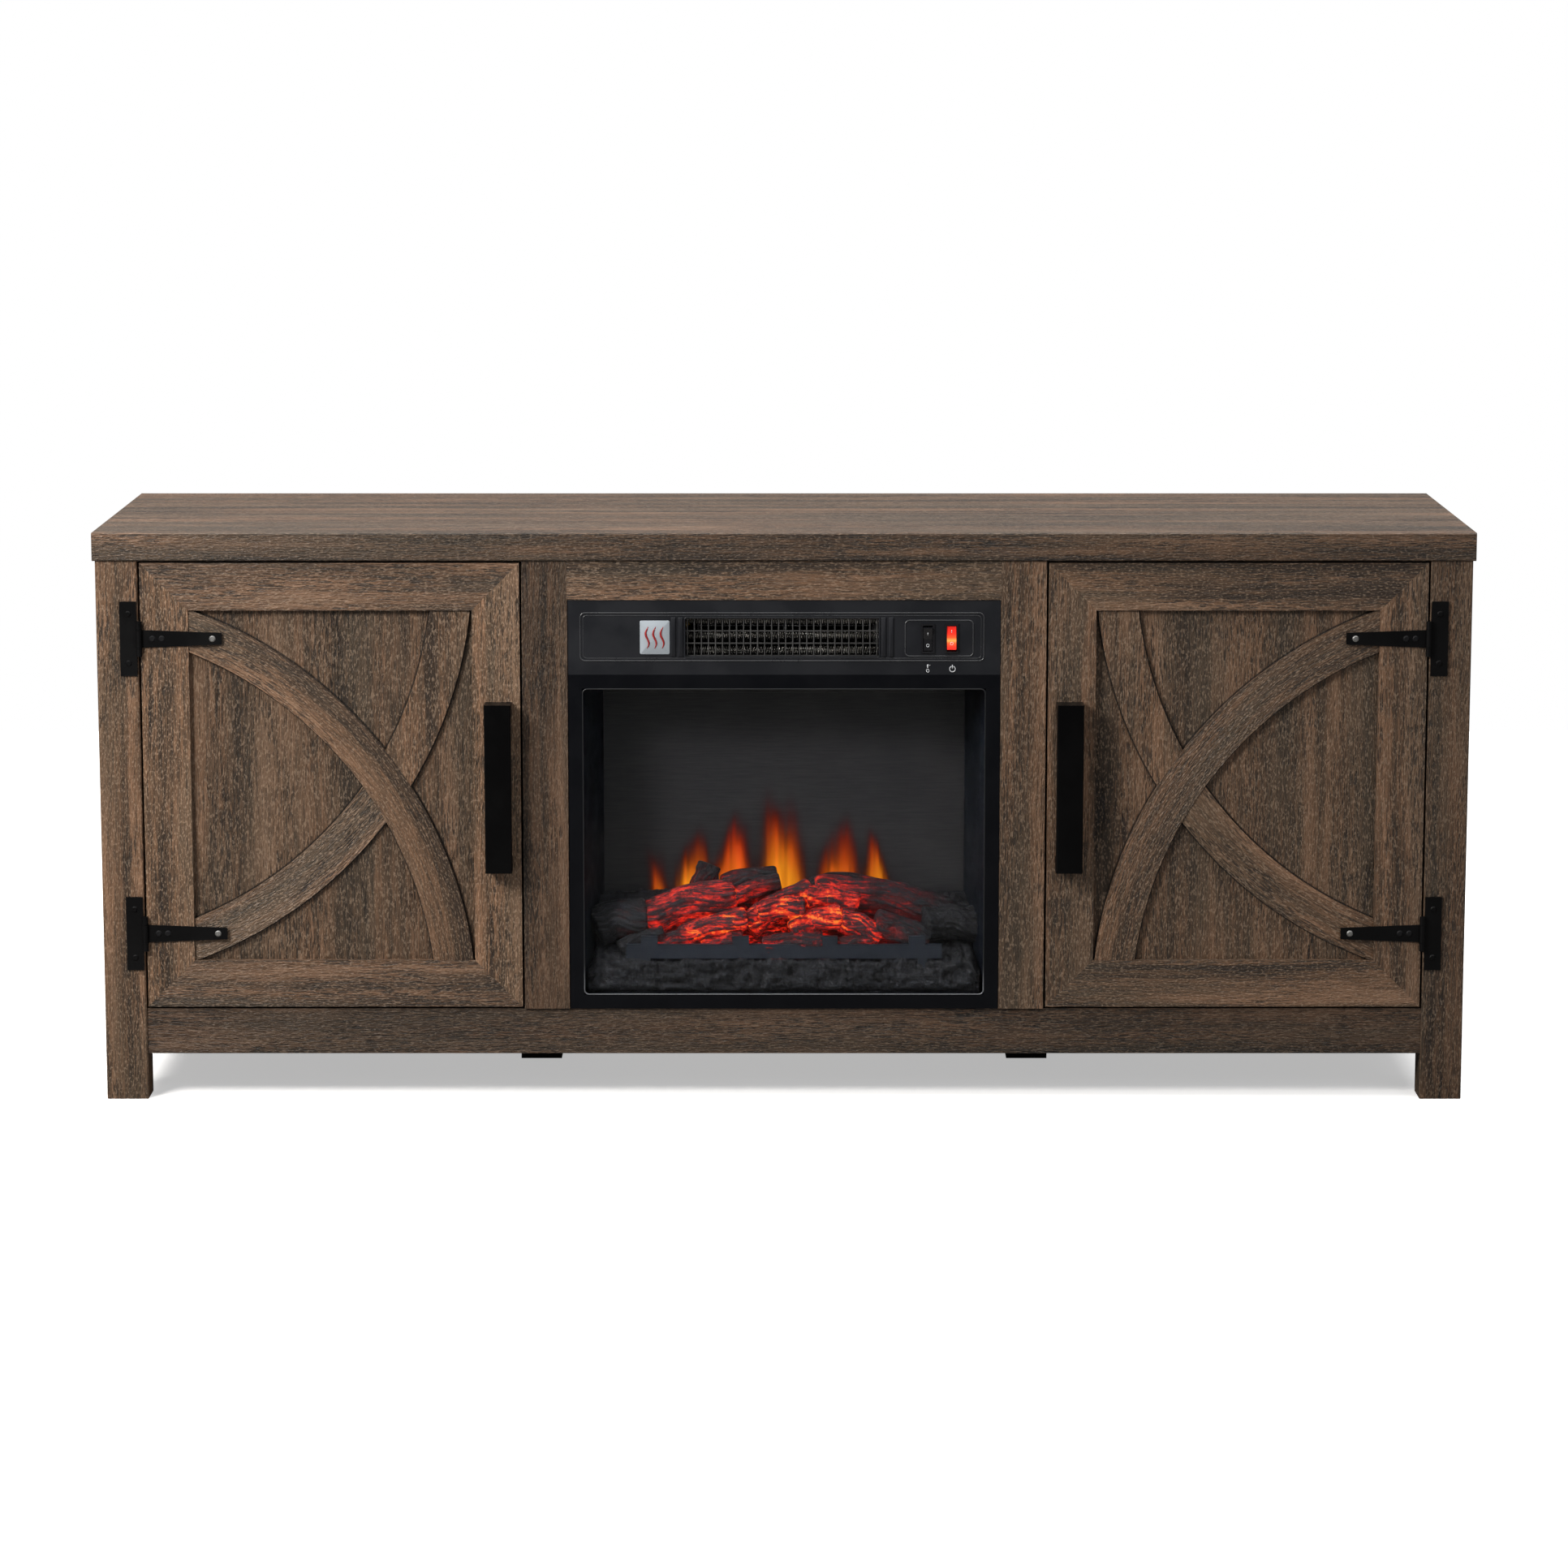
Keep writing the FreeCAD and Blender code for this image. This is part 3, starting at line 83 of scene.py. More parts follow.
class Finish:
    """One node material; each method adds a node and hands back its output."""

    def __init__(self, name):
        self.material = bpy.data.materials.new(name)
        self.material.use_nodes = True
        self.tree = self.material.node_tree
        self.tree.nodes.clear()

    def put(self, socket, value):
        """Links an output to the socket, or sets its number or colour."""
        if isinstance(value, bpy.types.NodeSocket):
            self.tree.links.new(value, socket)
        elif socket.type == "RGBA":
            socket.default_value = (*value[:3], 1.0)
        else:
            socket.default_value = value

    def add(self, kind, inputs=None, **settings):
        item = self.tree.nodes.new(kind)
        for name, value in settings.items():
            setattr(item, name, value)
        for name, value in (inputs or {}).items():
            self.put(item.inputs[name], value)
        return item

    def math(self, operation, first, second=0.0, clamp=False):
        item = self.add("ShaderNodeMath", operation=operation, use_clamp=clamp)
        self.put(item.inputs[0], first)
        self.put(item.inputs[1], second)
        return item.outputs[0]

    def vector(self, operation, first, second):
        item = self.add("ShaderNodeVectorMath", operation=operation)
        self.put(item.inputs[0], first)
        self.put(item.inputs[1], second)
        return item.outputs[0]

    def mix(self, share, first, second, blend="MIX"):
        item = self.add("ShaderNodeMix", data_type="RGBA", blend_type=blend)
        self.put(item.inputs[0], share)
        self.put(item.inputs[6], first)
        self.put(item.inputs[7], second)
        return item.outputs[2]

    def noise(self, place, scale, detail=2.0, rough=0.5):
        item = self.add("ShaderNodeTexNoise", {"Vector": place, "Scale": scale, "Detail": detail,
                                               "Roughness": rough})
        return item.outputs["Fac"]

    def ramp(self, value, stops):
        """Colours blended between the given stops."""
        item = self.add("ShaderNodeValToRGB", {"Fac": value})
        band = item.color_ramp.elements
        while len(band) < len(stops):
            band.new(0.5)
        for stop, (place, colour) in zip(band, stops):
            stop.position = place
            stop.color = (*colour, 1.0)
        return item.outputs["Color"]

    def fit(self, value, low, high, start=0.0, stop=1.0):
        """Carries low..high smoothly to start..stop, and holds the ends."""
        item = self.add("ShaderNodeMapRange", {"Value": value, "From Min": low, "From Max": high,
                                               "To Min": start, "To Max": stop},
                        interpolation_type="SMOOTHSTEP")
        return item.outputs["Result"]

    def bump(self, height, reach, strength=1.0):
        item = self.add("ShaderNodeBump", {"Height": height, "Distance": reach, "Strength": strength})
        return item.outputs["Normal"]

    def place(self):
        return self.add("ShaderNodeTexCoord").outputs["Object"]

    def axes(self, place):
        return self.add("ShaderNodeSeparateXYZ", {"Vector": place}).outputs

    def join(self, across, third, along):
        item = self.add("ShaderNodeCombineXYZ")
        for socket, value in zip(item.inputs, (across, third, along)):
            self.put(socket, value)
        return item.outputs[0]

    def principled(self, inputs):
        return self.add("ShaderNodeBsdfPrincipled", inputs).outputs[0]

    def fire_pair(self):
        """The two numbers that a piece of the fire carries at each point."""
        own = self.add("ShaderNodeUVMap", uv_map="fire").outputs["UV"]
        return self.axes(own)[0], self.axes(own)[1]

    def show(self, shader):
        self.add("ShaderNodeOutputMaterial", {"Surface": shader})
        return self.material


# ---------------------------------------------------------------- wood

WOOD_STOPS = (
    (0.40, (0.030, 0.018, 0.011)),
    (0.455, (0.080, 0.047, 0.027)),
    (0.505, (0.130, 0.072, 0.040)),
    (0.55, (0.178, 0.096, 0.053)),
    (0.61, (0.258, 0.148, 0.088)),
)


def board_place(f, grain, seed):
    """Place on a straight board as (across the grain, thickness, along the grain)."""
    x, y, z = f.axes(f.place())
    ordered = {"z": (x, y, z), "x": (z, y, x)}[grain]
    return f.vector("ADD", f.join(*ordered), (seed * 0.73, seed * 0.31, seed * 1.17))


def arch_radius(f, run, rise):
    """Distance from an arch's centre, from its two sides."""
    return f.math("SQRT", f.math("ADD", f.math("MULTIPLY", run, run), f.math("MULTIPLY", rise, rise)))


def brace_place(f, sign, centre_z, seed):
    """Place on an arched brace as (radius, thickness, length of arc) about the arch's centre."""
    x, y, z = f.axes(f.place())
    run = f.math("SUBTRACT", BRACE_CENTRE * MM, f.math("MULTIPLY", x, float(sign)))
    rise = f.math("SUBTRACT", z, centre_z)
    radius = arch_radius(f, run, rise)
    arc = f.math("MULTIPLY", f.math("ARCTAN2", rise, run), BRACE_RADIUS * MM)
    return f.vector("ADD", f.join(radius, y, arc), (seed * 0.73, seed * 0.31, seed * 1.17))


def laminate(f, place, tone=1.0, grey=0.0, swell=42.0, edge_shade=None):
    """Printed wood laminate: streaks, fine grain, dark dashes and scars, pale flecks, pressed-in texture.

    place is (across the grain, thickness, along the grain). tone is how light the board is, with painted
    light and shade in it; grey is how ashen its print is, swell how close its broad streaks lie, and
    edge_shade a share of painted shade line to lay over it.
    """
    def stretched(across, along):
        return f.vector("MULTIPLY", bent, (across, across, along))
    sway = f.math("SUBTRACT", f.noise(f.vector("MULTIPLY", place, (1, 1, 0.35)), 5.0, 1.0), 0.5)
    sway = f.math("MULTIPLY", sway, 0.014)
    bent = f.vector("ADD", place, f.join(sway, 0.0, 0.0))
    broad = f.noise(stretched(1, 0.045), swell, 2.0, 0.5)
    band = f.noise(stretched(1, 0.028), 190.0, 2.0, 0.6)
    fine = f.noise(stretched(1, 0.050), 820.0, 2.0, 0.65)
    streak = f.math("ADD", f.math("MULTIPLY", broad, 0.48), f.math("MULTIPLY", band, 0.22))
    streak = f.math("ADD", streak, f.math("MULTIPLY", fine, 0.30))
    colour = f.ramp(streak, WOOD_STOPS)
    ash = f.fit(f.noise(stretched(1, 0.10), 24.0, 2.0), 0.44, 0.60, grey * 0.25, 0.85)
    colour = f.mix(ash, colour, f.mix(0.6, colour, (0.078, 0.058, 0.038)))
    pores = f.noise(stretched(1, 0.085), 740.0, 1.0, 0.5)
    patch = f.fit(f.noise(stretched(1, 0.20), 40.0, 2.0), 0.38, 0.60, 0.25, 1.0)
    dashes = f.math("MULTIPLY", f.fit(pores, 0.53, 0.595), patch)
    ragged = f.fit(f.noise(stretched(1, 0.09), 300.0, 3.0, 0.7), 0.50, 0.58)
    wound = f.fit(f.noise(stretched(1, 0.13), 26.0, 2.0, 0.6), 0.60, 0.68)
    scar = f.math("MULTIPLY", ragged, wound)
    colour = f.mix(f.math("MULTIPLY", dashes, 0.84), colour, (0.026, 0.019, 0.014))
    colour = f.mix(f.math("MULTIPLY", scar, 0.88), colour, (0.012, 0.009, 0.008))
    grain = f.noise(stretched(1, 0.30), 560.0, 2.0, 0.6)
    flecks = f.fit(f.noise(stretched(1, 0.40), 640.0, 1.0, 0.5), 0.54, 0.64, 0.0, 0.50)
    colour = f.mix(flecks, colour, f.mix(0.55, colour, (0.46, 0.33, 0.23)))
    # tone scales the whole print: its own lightness together with painted light and shade where the board
    # stands.
    if tone != 1.0:
        colour = f.mix(1.0, colour, (tone, tone, tone), "MULTIPLY")
    # Painted shade: a dark line where raised boards stand above the panel.
    if edge_shade:
        colour = f.mix(f.math("MULTIPLY", edge_shade, 0.88), colour, (0.005, 0.004, 0.003))
    cuts = f.math("ADD", f.math("MULTIPLY", dashes, 0.5), f.math("MULTIPLY", scar, 0.6))
    height = f.math("SUBTRACT", f.math("ADD", grain, f.math("MULTIPLY", fine, 0.4)), cuts)
    rough = f.fit(grain, 0.36, 0.62, 0.62, 0.40)
    return f.show(f.principled({"Base Color": colour, "Roughness": rough, "Specular IOR Level": 0.42,
                                "Normal": f.bump(height, 0.0017, 0.8)}))


def straight_wood(name, grain, seed, **look):
    """Laminate on a straight board whose grain runs along the given axis."""
    f = Finish(name)
    return laminate(f, board_place(f, grain, seed), **look)


def painted_edge_shade(f, sign):
    """Painted shade: a narrow dark line on a door panel's front along both edges of both arches and round
    its open field, where the raised braces and frame strips stand above the panel.
    """
    x, y, z = f.axes(f.place())
    across = f.math("MULTIPLY", x, float(sign))
    run = f.math("SUBTRACT", BRACE_CENTRE * MM, across)
    gaps = []
    for centre_z in (DOOR_LOW[2] * MM, DOOR_HIGH[2] * MM):
        rise = f.math("SUBTRACT", z, centre_z)
        radius = arch_radius(f, run, rise)
        for edge in (BRACE_RADIUS, BRACE_RADIUS - BRACE_BAND):
            gaps.append(f.math("SUBTRACT", radius, edge * MM))
    for corner in (DOOR_LOW, DOOR_HIGH):
        gaps.append(f.math("SUBTRACT", across, corner[0] * MM))
        gaps.append(f.math("SUBTRACT", z, corner[2] * MM))
    nearest = 1.0
    for gap in gaps:
        nearest = f.math("MINIMUM", nearest, f.math("ABSOLUTE", gap))
    front = f.math("LESS_THAN", y, (DOOR_LOW[1] + DOOR_HIGH[1]) / 2 * MM)
    return f.math("MULTIPLY", f.fit(nearest, 0.0011, 0.0024, 1.0, 0.0), front)


def panel_wood(name, sign, seed, **look):
    """Laminate on a door's panel, grain upright, with painted shade lines beside the braces."""
    f = Finish(name)
    return laminate(f, board_place(f, "z", seed), edge_shade=painted_edge_shade(f, sign), **look)


def brace_wood(name, sign, centre_z, seed, **look):
    """Laminate on an arched brace, grain along the arc."""
    f = Finish(name)
    return laminate(f, brace_place(f, sign, centre_z, seed), swell=16.0, **look)


def half_brace_wood(name, sign, centre_z, seed, middle, **look):
    """Grain along the arc below the crossing, and upright like the panel's above it."""
    f = Finish(name)
    above = f.math("GREATER_THAN", f.axes(f.place())[2], middle)
    choice = f.add("ShaderNodeMix", data_type="VECTOR")
    f.put(choice.inputs[0], above)
    f.put(choice.inputs[4], brace_place(f, sign, centre_z, seed))
    f.put(choice.inputs[5], board_place(f, "z", seed))
    return laminate(f, choice.outputs[1], **look)


# ---------------------------------------------------------------- metals, plastics and glass

def coated(name, colour, rough, texture=900.0, depth=0.00004, metal=0.0, level=0.35, wear=0.12):
    """Even coat with a fine grain in its gloss, slight clouding and worn, lighter specks."""
    f = Finish(name)
    place = f.place()
    cloud = f.fit(f.noise(place, 22.0, 3.0), 0.35, 0.65)
    speck = f.noise(place, texture, 2.0, 0.6)
    light = tuple(min(1.0, part * (1.0 + wear * 3)) for part in colour)
    worn = tuple(min(1.0, part * 2 + 0.006) for part in colour)
    tint = f.mix(f.math("MULTIPLY", cloud, 0.35), colour, light)
    tint = f.mix(f.fit(speck, 0.60, 0.72, 0.0, wear), tint, worn)
    gloss = f.fit(f.math("ADD", f.math("MULTIPLY", speck, 0.6), f.math("MULTIPLY", cloud, 0.4)), 0.3, 0.7,
                  rough * 0.85, min(1.0, rough * 1.15))
    return f.show(f.principled({"Base Color": tint, "Roughness": gloss, "Metallic": metal,
                                "Specular IOR Level": level, "Normal": f.bump(speck, depth, 0.8)}))


def hardboard_finish():
    """Pressed fibre: short crossed fibres over a flat brown."""
    f = Finish("hardboard_brown")
    place = f.place()
    fibres = f.noise(f.vector("MULTIPLY", place, (0.3, 1, 1)), 700.0, 3.0, 0.7)
    crossed = f.noise(f.vector("MULTIPLY", place, (1, 1, 0.3)), 600.0, 3.0, 0.7)
    mat = f.math("MULTIPLY", f.math("ADD", fibres, crossed), 0.5)
    colour = f.ramp(mat, ((0.36, (0.085, 0.050, 0.028)), (0.50, (0.15, 0.092, 0.052)),
                          (0.64, (0.24, 0.16, 0.10))))
    return f.show(f.principled({"Base Color": colour, "Roughness": f.fit(mat, 0.3, 0.7, 0.8, 0.6),
                                "Normal": f.bump(mat, 0.0003, 0.7)}))


def fixings_finish():
    """Door fixings: black heads near the hinge, a bright rivet at each strap's tip, plain zinc behind."""
    f = Finish("fixings_black_and_zinc")
    place = f.place()
    near_hinge = f.fit(f.math("ABSOLUTE", f.axes(place)[0]), 0.640, 0.645)
    mottle = f.noise(place, 1200.0, 2.0)
    zinc = f.ramp(mottle, ((0.3, (0.18, 0.18, 0.18)), (0.7, (0.34, 0.34, 0.33))))
    return f.show(f.principled({"Base Color": f.mix(near_hinge, zinc, (0.008, 0.008, 0.009)),
                                "Metallic": f.fit(near_hinge, 0.2, 0.8, 0.9, 0.0),
                                "Specular IOR Level": 0.12,
                                "Roughness": f.fit(mottle, 0.3, 0.7, 0.45, 0.60),
                                "Normal": f.bump(mottle, 0.00003, 0.6)}))


def pane_finish():
    """Clear pane: sees through, with a little dust; its shadow is let through."""
    f = Finish("clear_pane")
    dust = f.noise(f.place(), 260.0, 3.0)
    glass = f.principled({"Base Color": (0.86, 0.87, 0.89), "Roughness": f.fit(dust, 0.5, 0.75, 0.0, 0.05),
                          "Transmission Weight": 1.0, "IOR": 1.12, "Specular IOR Level": 0.2})
    through = f.add("ShaderNodeBsdfTransparent", {"Color": (0.52, 0.53, 0.55)}).outputs[0]
    shadow = f.add("ShaderNodeLightPath").outputs["Is Shadow Ray"]
    blend = f.add("ShaderNodeMixShader", {"Fac": shadow})
    f.put(blend.inputs[1], glass)
    f.put(blend.inputs[2], through)
    return f.show(blend.outputs[0])


def screen_finish():
    """Smoked screen film with a faint level weave."""
    f = Finish("smoked_screen")
    place = f.place()
    weave = f.noise(f.vector("MULTIPLY", place, (0.05, 1, 1)), 800.0, 2.0)
    cloud = f.noise(place, 12.0, 3.0)
    tone = f.math("ADD", f.math("MULTIPLY", weave, 0.6), f.math("MULTIPLY", cloud, 0.4))
    colour = f.ramp(tone, ((0.38, (0.034, 0.034, 0.035)), (0.62, (0.050, 0.049, 0.049))))
    return f.show(f.principled({"Base Color": colour, "Roughness": f.fit(weave, 0.3, 0.7, 0.45, 0.65),
                                "Specular IOR Level": 0.2, "Normal": f.bump(weave, 0.0001, 0.5)}))


def bead_finish():
    """Black bead with a painted highlight along its lowest run and at the foot of its uprights, where it
    faces the floor's light.
    """
    f = Finish("window_bead")
    place = f.place()
    speck = f.noise(place, 700.0, 2.0)
    foot = FRAME_LOW[2] * MM
    # Painted highlight: lighter grey colour and some metal sheen low down, mottled by the specks.
    highlight_reach = f.fit(f.axes(place)[2], foot + 0.018, foot + 0.050, 1.0, 0.0)
    painted_highlight = f.math("MULTIPLY", highlight_reach, f.fit(speck, 0.30, 0.55, 0.6, 1.0))
    colour = f.mix(painted_highlight, (0.010, 0.011, 0.013), (0.20, 0.21, 0.23))
    return f.show(f.principled({"Base Color": colour, "Metallic": f.math("MULTIPLY", painted_highlight, 0.6),
                                "Roughness": f.fit(speck, 0.3, 0.7, 0.30, 0.45),
                                "Normal": f.bump(speck, 0.00003, 0.5)}))


def lit_rocker_finish(centre_z):
    """Red rocker lit from inside: orange a little below the middle of its height, deep red at its ends."""
    f = Finish("red_lit_rocker")
    off = f.math("ABSOLUTE", f.math("SUBTRACT", f.axes(f.place())[2], centre_z - 0.0025))
    speck = f.noise(f.place(), 900.0, 2.0)
    off = f.math("DIVIDE", off, 0.014)
    glow = f.ramp(off, ((0.0, (1.0, 0.50, 0.10)), (0.20, (1.0, 0.12, 0.025)),
                        (0.50, (0.78, 0.022, 0.012)), (1.0, (0.30, 0.005, 0.004))))
    return f.show(f.principled({"Base Color": f.mix(speck, (0.55, 0.02, 0.01), (0.68, 0.03, 0.02)),
                                "Roughness": f.fit(speck, 0.3, 0.7, 0.15, 0.25),
                                "Emission Color": glow, "Emission Strength": 0.95}))


def log_finish():
    """Moulded resin logs: charcoal bark, slate on the ridges, and fire between them where it is hot."""
    f = Finish("log_resin_glowing")
    heat, ridge = f.fire_pair()
    place = f.place()
    flaw = f.noise(place, 260.0, 4.0, 0.7)
    broad = f.noise(place, 55.0, 3.0, 0.6)
    fibre = f.noise(f.vector("MULTIPLY", place, (0.13, 1, 1)), 420.0, 3.0, 0.6)
    char = f.ramp(flaw, ((0.35, (0.004, 0.004, 0.005)), (0.55, (0.013, 0.013, 0.015)),
                         (0.70, (0.036, 0.037, 0.042))))
    bark = f.mix(f.math("MULTIPLY", f.math("MULTIPLY", ridge, f.fit(fibre, 0.40, 0.62)), 0.7), char,
                 (0.026, 0.030, 0.038))
    split = f.math("SUBTRACT", 1.0, f.math("MULTIPLY", ridge, 0.7))
    split = f.math("SUBTRACT", split, f.math("MULTIPLY", f.fit(fibre, 0.44, 0.58), 0.55), clamp=True)
    patchy = f.math("ADD", f.math("MULTIPLY", broad, 0.7), f.math("MULTIPLY", flaw, 0.3))
    uneven = f.fit(patchy, 0.36, 0.62, 0.35, 1.2)
    fire = f.math("MULTIPLY", heat, f.math("ADD", f.math("MULTIPLY", split, 0.98), 0.16))
    fire = f.math("MULTIPLY", fire, uneven)
    glow = f.ramp(fire, ((0.05, (0.0, 0.0, 0.0)), (0.20, (0.050, 0.0010, 0.0006)),
                         (0.40, (0.30, 0.004, 0.0015)), (0.62, (0.76, 0.014, 0.003)),
                         (0.84, (1.0, 0.055, 0.006)), (1.0, (1.0, 0.24, 0.02))))
    relief = f.math("ADD", flaw, f.math("MULTIPLY", fibre, 0.6))
    return f.show(f.principled({"Base Color": bark, "Roughness": f.fit(flaw, 0.3, 0.7, 0.55, 0.85),
                                "Specular IOR Level": 0.4, "Emission Color": glow, "Emission Strength": 1.0,
                                "Normal": f.bump(relief, 0.0024, 0.8)}))


def flame_finish():
    """Light of the flames: red first, yellow only where it is hot, and clear where there is no flame."""
    f = Finish("flame_light")
    glow, yellow = f.fire_pair()
    body = f.math("POWER", glow, 1.6)
    green = f.math("MULTIPLY", body, f.math("ADD", f.math("MULTIPLY", yellow, 0.30), 0.024))
    blue = f.math("MULTIPLY", body, 0.014)
    red = f.math("MULTIPLY", f.math("POWER", glow, 1.15), 0.98, True)
    colour = f.add("ShaderNodeCombineColor", {"Red": red, "Green": green, "Blue": blue}).outputs[0]
    shine = f.add("ShaderNodeEmission", {"Color": colour, "Strength": 1.0}).outputs[0]
    clear = f.add("ShaderNodeBsdfTransparent").outputs[0]
    blend = f.add("ShaderNodeMixShader", {"Fac": f.math("MULTIPLY", glow, 1.7, True)})
    f.put(blend.inputs[1], clear)
    f.put(blend.inputs[2], shine)
    return f.show(blend.outputs[0])


# ---------------------------------------------------------------- mesh helpers

def new_piece(name, shape, finish, body, smooth=True, pair=None):
    """Makes a piece of (points in millimetres, groups of faces), its faces turned outwards if need be.

    pair holds two numbers for each point, which the piece carries as its own UV map.
    """
    points, groups = shape
    points = np.asarray(points, float) * MM
    halves = [group[:, :3] for group in groups]
    halves += [group[:, [0, 2, 3]] for group in groups if group.shape[1] > 3]
    a, b, c = (points[np.concatenate(halves)[:, k]] for k in range(3))
    if np.einsum("ij,ij->", a, np.cross(b, c)) < 0:
        groups = [group[:, ::-1] for group in groups]
    faces = []
    for group in groups:
        faces += group.tolist()
    mesh = bpy.data.meshes.new(name)
    mesh.from_pydata(points.tolist(), [], faces)
    mesh.polygons.foreach_set("use_smooth", [smooth] * len(mesh.polygons))
    mesh.materials.append(finish)
    if pair is not None:
        corner = np.zeros(len(mesh.loops), np.int32)
        mesh.loops.foreach_get("vertex_index", corner)
        own = mesh.uv_layers.new(name="fire")
        own.data.foreach_set("uv", np.asarray(pair, np.float32)[corner].ravel())
    mesh.update()
    piece = bpy.data.objects.new(name, mesh)
    bpy.context.scene.collection.objects.link(piece)
    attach(piece, body)
    return piece


def weave(rows, columns, wrap=True):
    """Four-sided faces of a rows x columns grid of points; columns may close into a ring."""
    r, c = np.meshgrid(np.arange(rows - 1), np.arange(columns if wrap else columns - 1), indexing="ij")
    after = (c + 1) % columns
    this_row = r * columns
    next_row = this_row + columns
    return np.stack([this_row + c, this_row + after, next_row + after, next_row + c], -1).reshape(-1, 4)


def closed_run(rings, middles):
    """A run of rings of points, each end closed by triangles from its rim to its own middle point."""
    rows, sides = rings.shape[:2]
    side = np.arange(sides)
    after = (side + 1) % sides
    hub = np.full(sides, rows * sides)
    last = (rows - 1) * sides
    first_fan = np.stack([hub, after, side], -1)
    last_fan = np.stack([hub + 1, last + side, last + after], -1)
    return np.concatenate([rings.reshape(-1, 3), middles]), [weave(rows, sides), first_fan, last_fan]


def tube(path, radius, sides):
    """Round tube: each path point plus radius times a unit circle square to the path.

    radius is one number, one per path point, or one per path point and side.
    """
    path = np.asarray(path, float)
    along = np.gradient(path, axis=0)
    along /= np.linalg.norm(along, axis=1, keepdims=True)
    upright = np.where(np.abs(along[:, 2:3]) < 0.9, (0.0, 0.0, 1.0), (0.0, 1.0, 0.0))
    side = np.cross(along, upright)
    side /= np.linalg.norm(side, axis=1, keepdims=True)
    other = np.cross(side, along)
    angle = np.linspace(0, 2 * math.pi, sides, endpoint=False)
    reach = np.broadcast_to(np.asarray(radius, float).reshape(-1, 1) if np.ndim(radius) < 2 else radius,
                            (len(path), sides))
    rings = path[:, None] + reach[..., None] * (np.cos(angle)[None, :, None] * side[:, None]
                                                + np.sin(angle)[None, :, None] * other[:, None])
    return closed_run(rings, path[[0, -1]])


def joined(parts):
    """Several (points, groups of faces) as one, each with its own point numbers."""
    points = []
    groups = []
    start = 0
    for part_points, part_groups in parts:
        points.append(part_points)
        groups += [group + start for group in part_groups]
        start += len(part_points)
    return np.concatenate(points), groups


def closed_sheet(near, far):
    """Two matching grids of points as one closed piece: both faces and a rim that joins their borders."""
    rows, columns = near.shape[:2]
    count = rows * columns
    across = np.arange(columns)
    down = np.arange(1, rows)
    border = np.concatenate([across, down * columns + columns - 1, (rows - 1) * columns + across[-2::-1],
                             down[-2::-1] * columns])
    after = np.roll(border, -1)
    rim = np.stack([border, after, after + count, border + count], -1)
    inside = weave(rows, columns, False)
    return np.concatenate([near.reshape(-1, 3), far.reshape(-1, 3)]), [inside[:, ::-1], inside + count, rim]


def lattice(u, v, cells_u, cells_v, seed, wrap=False):
    """Value noise in 0..1: random numbers at whole cells, blended smoothly between them."""
    table = np.random.default_rng(seed).random((cells_u + 2, cells_v + 2))
    if wrap:
        table[:, cells_v:] = table[:, :2]
    gu = np.clip(u, 0, 1) * cells_u
    gv = np.clip(v, 0, 1) * cells_v
    iu = gu.astype(int)
    iv = gv.astype(int)
    fu = gu - iu
    fv = gv - iv
    fu = fu * fu * (3 - 2 * fu)
    fv = fv * fv * (3 - 2 * fv)
    low = table[iu, iv] * (1 - fv) + table[iu, iv + 1] * fv
    high = table[iu + 1, iv] * (1 - fv) + table[iu + 1, iv + 1] * fv
    return low * (1 - fu) + high * fu


def rounded_outline(x, z, corner, steps=6):
    """Points round a rectangle with round corners, as an array of (x, z)."""
    turn = np.linspace(0, math.pi / 2, steps)
    corners = ((x[1] - corner, z[1] - corner, 0), (x[0] + corner, z[1] - corner, 1),
               (x[0] + corner, z[0] + corner, 2), (x[1] - corner, z[0] + corner, 3))
    arcs = [np.stack([cx + corner * np.cos(turn + quarter * math.pi / 2),
                      cz + corner * np.sin(turn + quarter * math.pi / 2)], -1)
            for cx, cz, quarter in corners]
    return np.concatenate(arcs)


def raised_plate(x, z, corner, back, front, edge):
    """Rounded plate: its outline at the back, again near the front, then drawn in by the edge's width."""
    outer = rounded_outline(x, z, corner)
    inner = rounded_outline((x[0] + edge, x[1] - edge), (z[0] + edge, z[1] - edge), max(corner - edge, 0.05))
    layers = ((outer, back), (outer, front + edge * 0.6), (inner, front))
    rings = [np.column_stack([flat[:, 0], np.full(len(flat), y), flat[:, 1]]) for flat, y in layers]
    middles = np.array([(sum(x) / 2, back, sum(z) / 2), (sum(x) / 2, front, sum(z) / 2)])
    return closed_run(np.stack(rings), middles)


def closed_bead(outline, y, radius, sides=8):
    """Round bead on the plane y: each point of a closed (x, z) outline plus a circle square to it."""
    outline = np.asarray(outline)
    path = np.column_stack([outline[:, 0], np.full(len(outline), y), outline[:, 1]])
    along = np.roll(path, -1, 0) - np.roll(path, 1, 0)
    along /= np.linalg.norm(along, axis=1, keepdims=True)
    out = np.cross(along, np.array([0.0, 1.0, 0.0]))
    angle = np.linspace(0, 2 * math.pi, sides, endpoint=False)
    forward = np.array([0.0, -1.0, 0.0])
    ring = path[:, None] + radius * (np.cos(angle)[None, :, None] * out[:, None]
                                     + np.sin(angle)[None, :, None] * forward)
    count = len(path)
    row = np.arange(count)[:, None]
    column = np.arange(sides)[None, :]
    after_row = (row + 1) % count
    after_column = (column + 1) % sides
    quads = np.stack(np.broadcast_arrays(row * sides + column, after_row * sides + column,
                                         after_row * sides + after_column, row * sides + after_column), -1)
    return ring.reshape(-1, 3), [quads.reshape(-1, 4)]


# ---------------------------------------------------------------- dressing the model's own parts

def dress(names, material):
    """Gives the named nodes one material."""
    for name in names:
        for slot in NODES[name].material_slots:
            slot.material = material
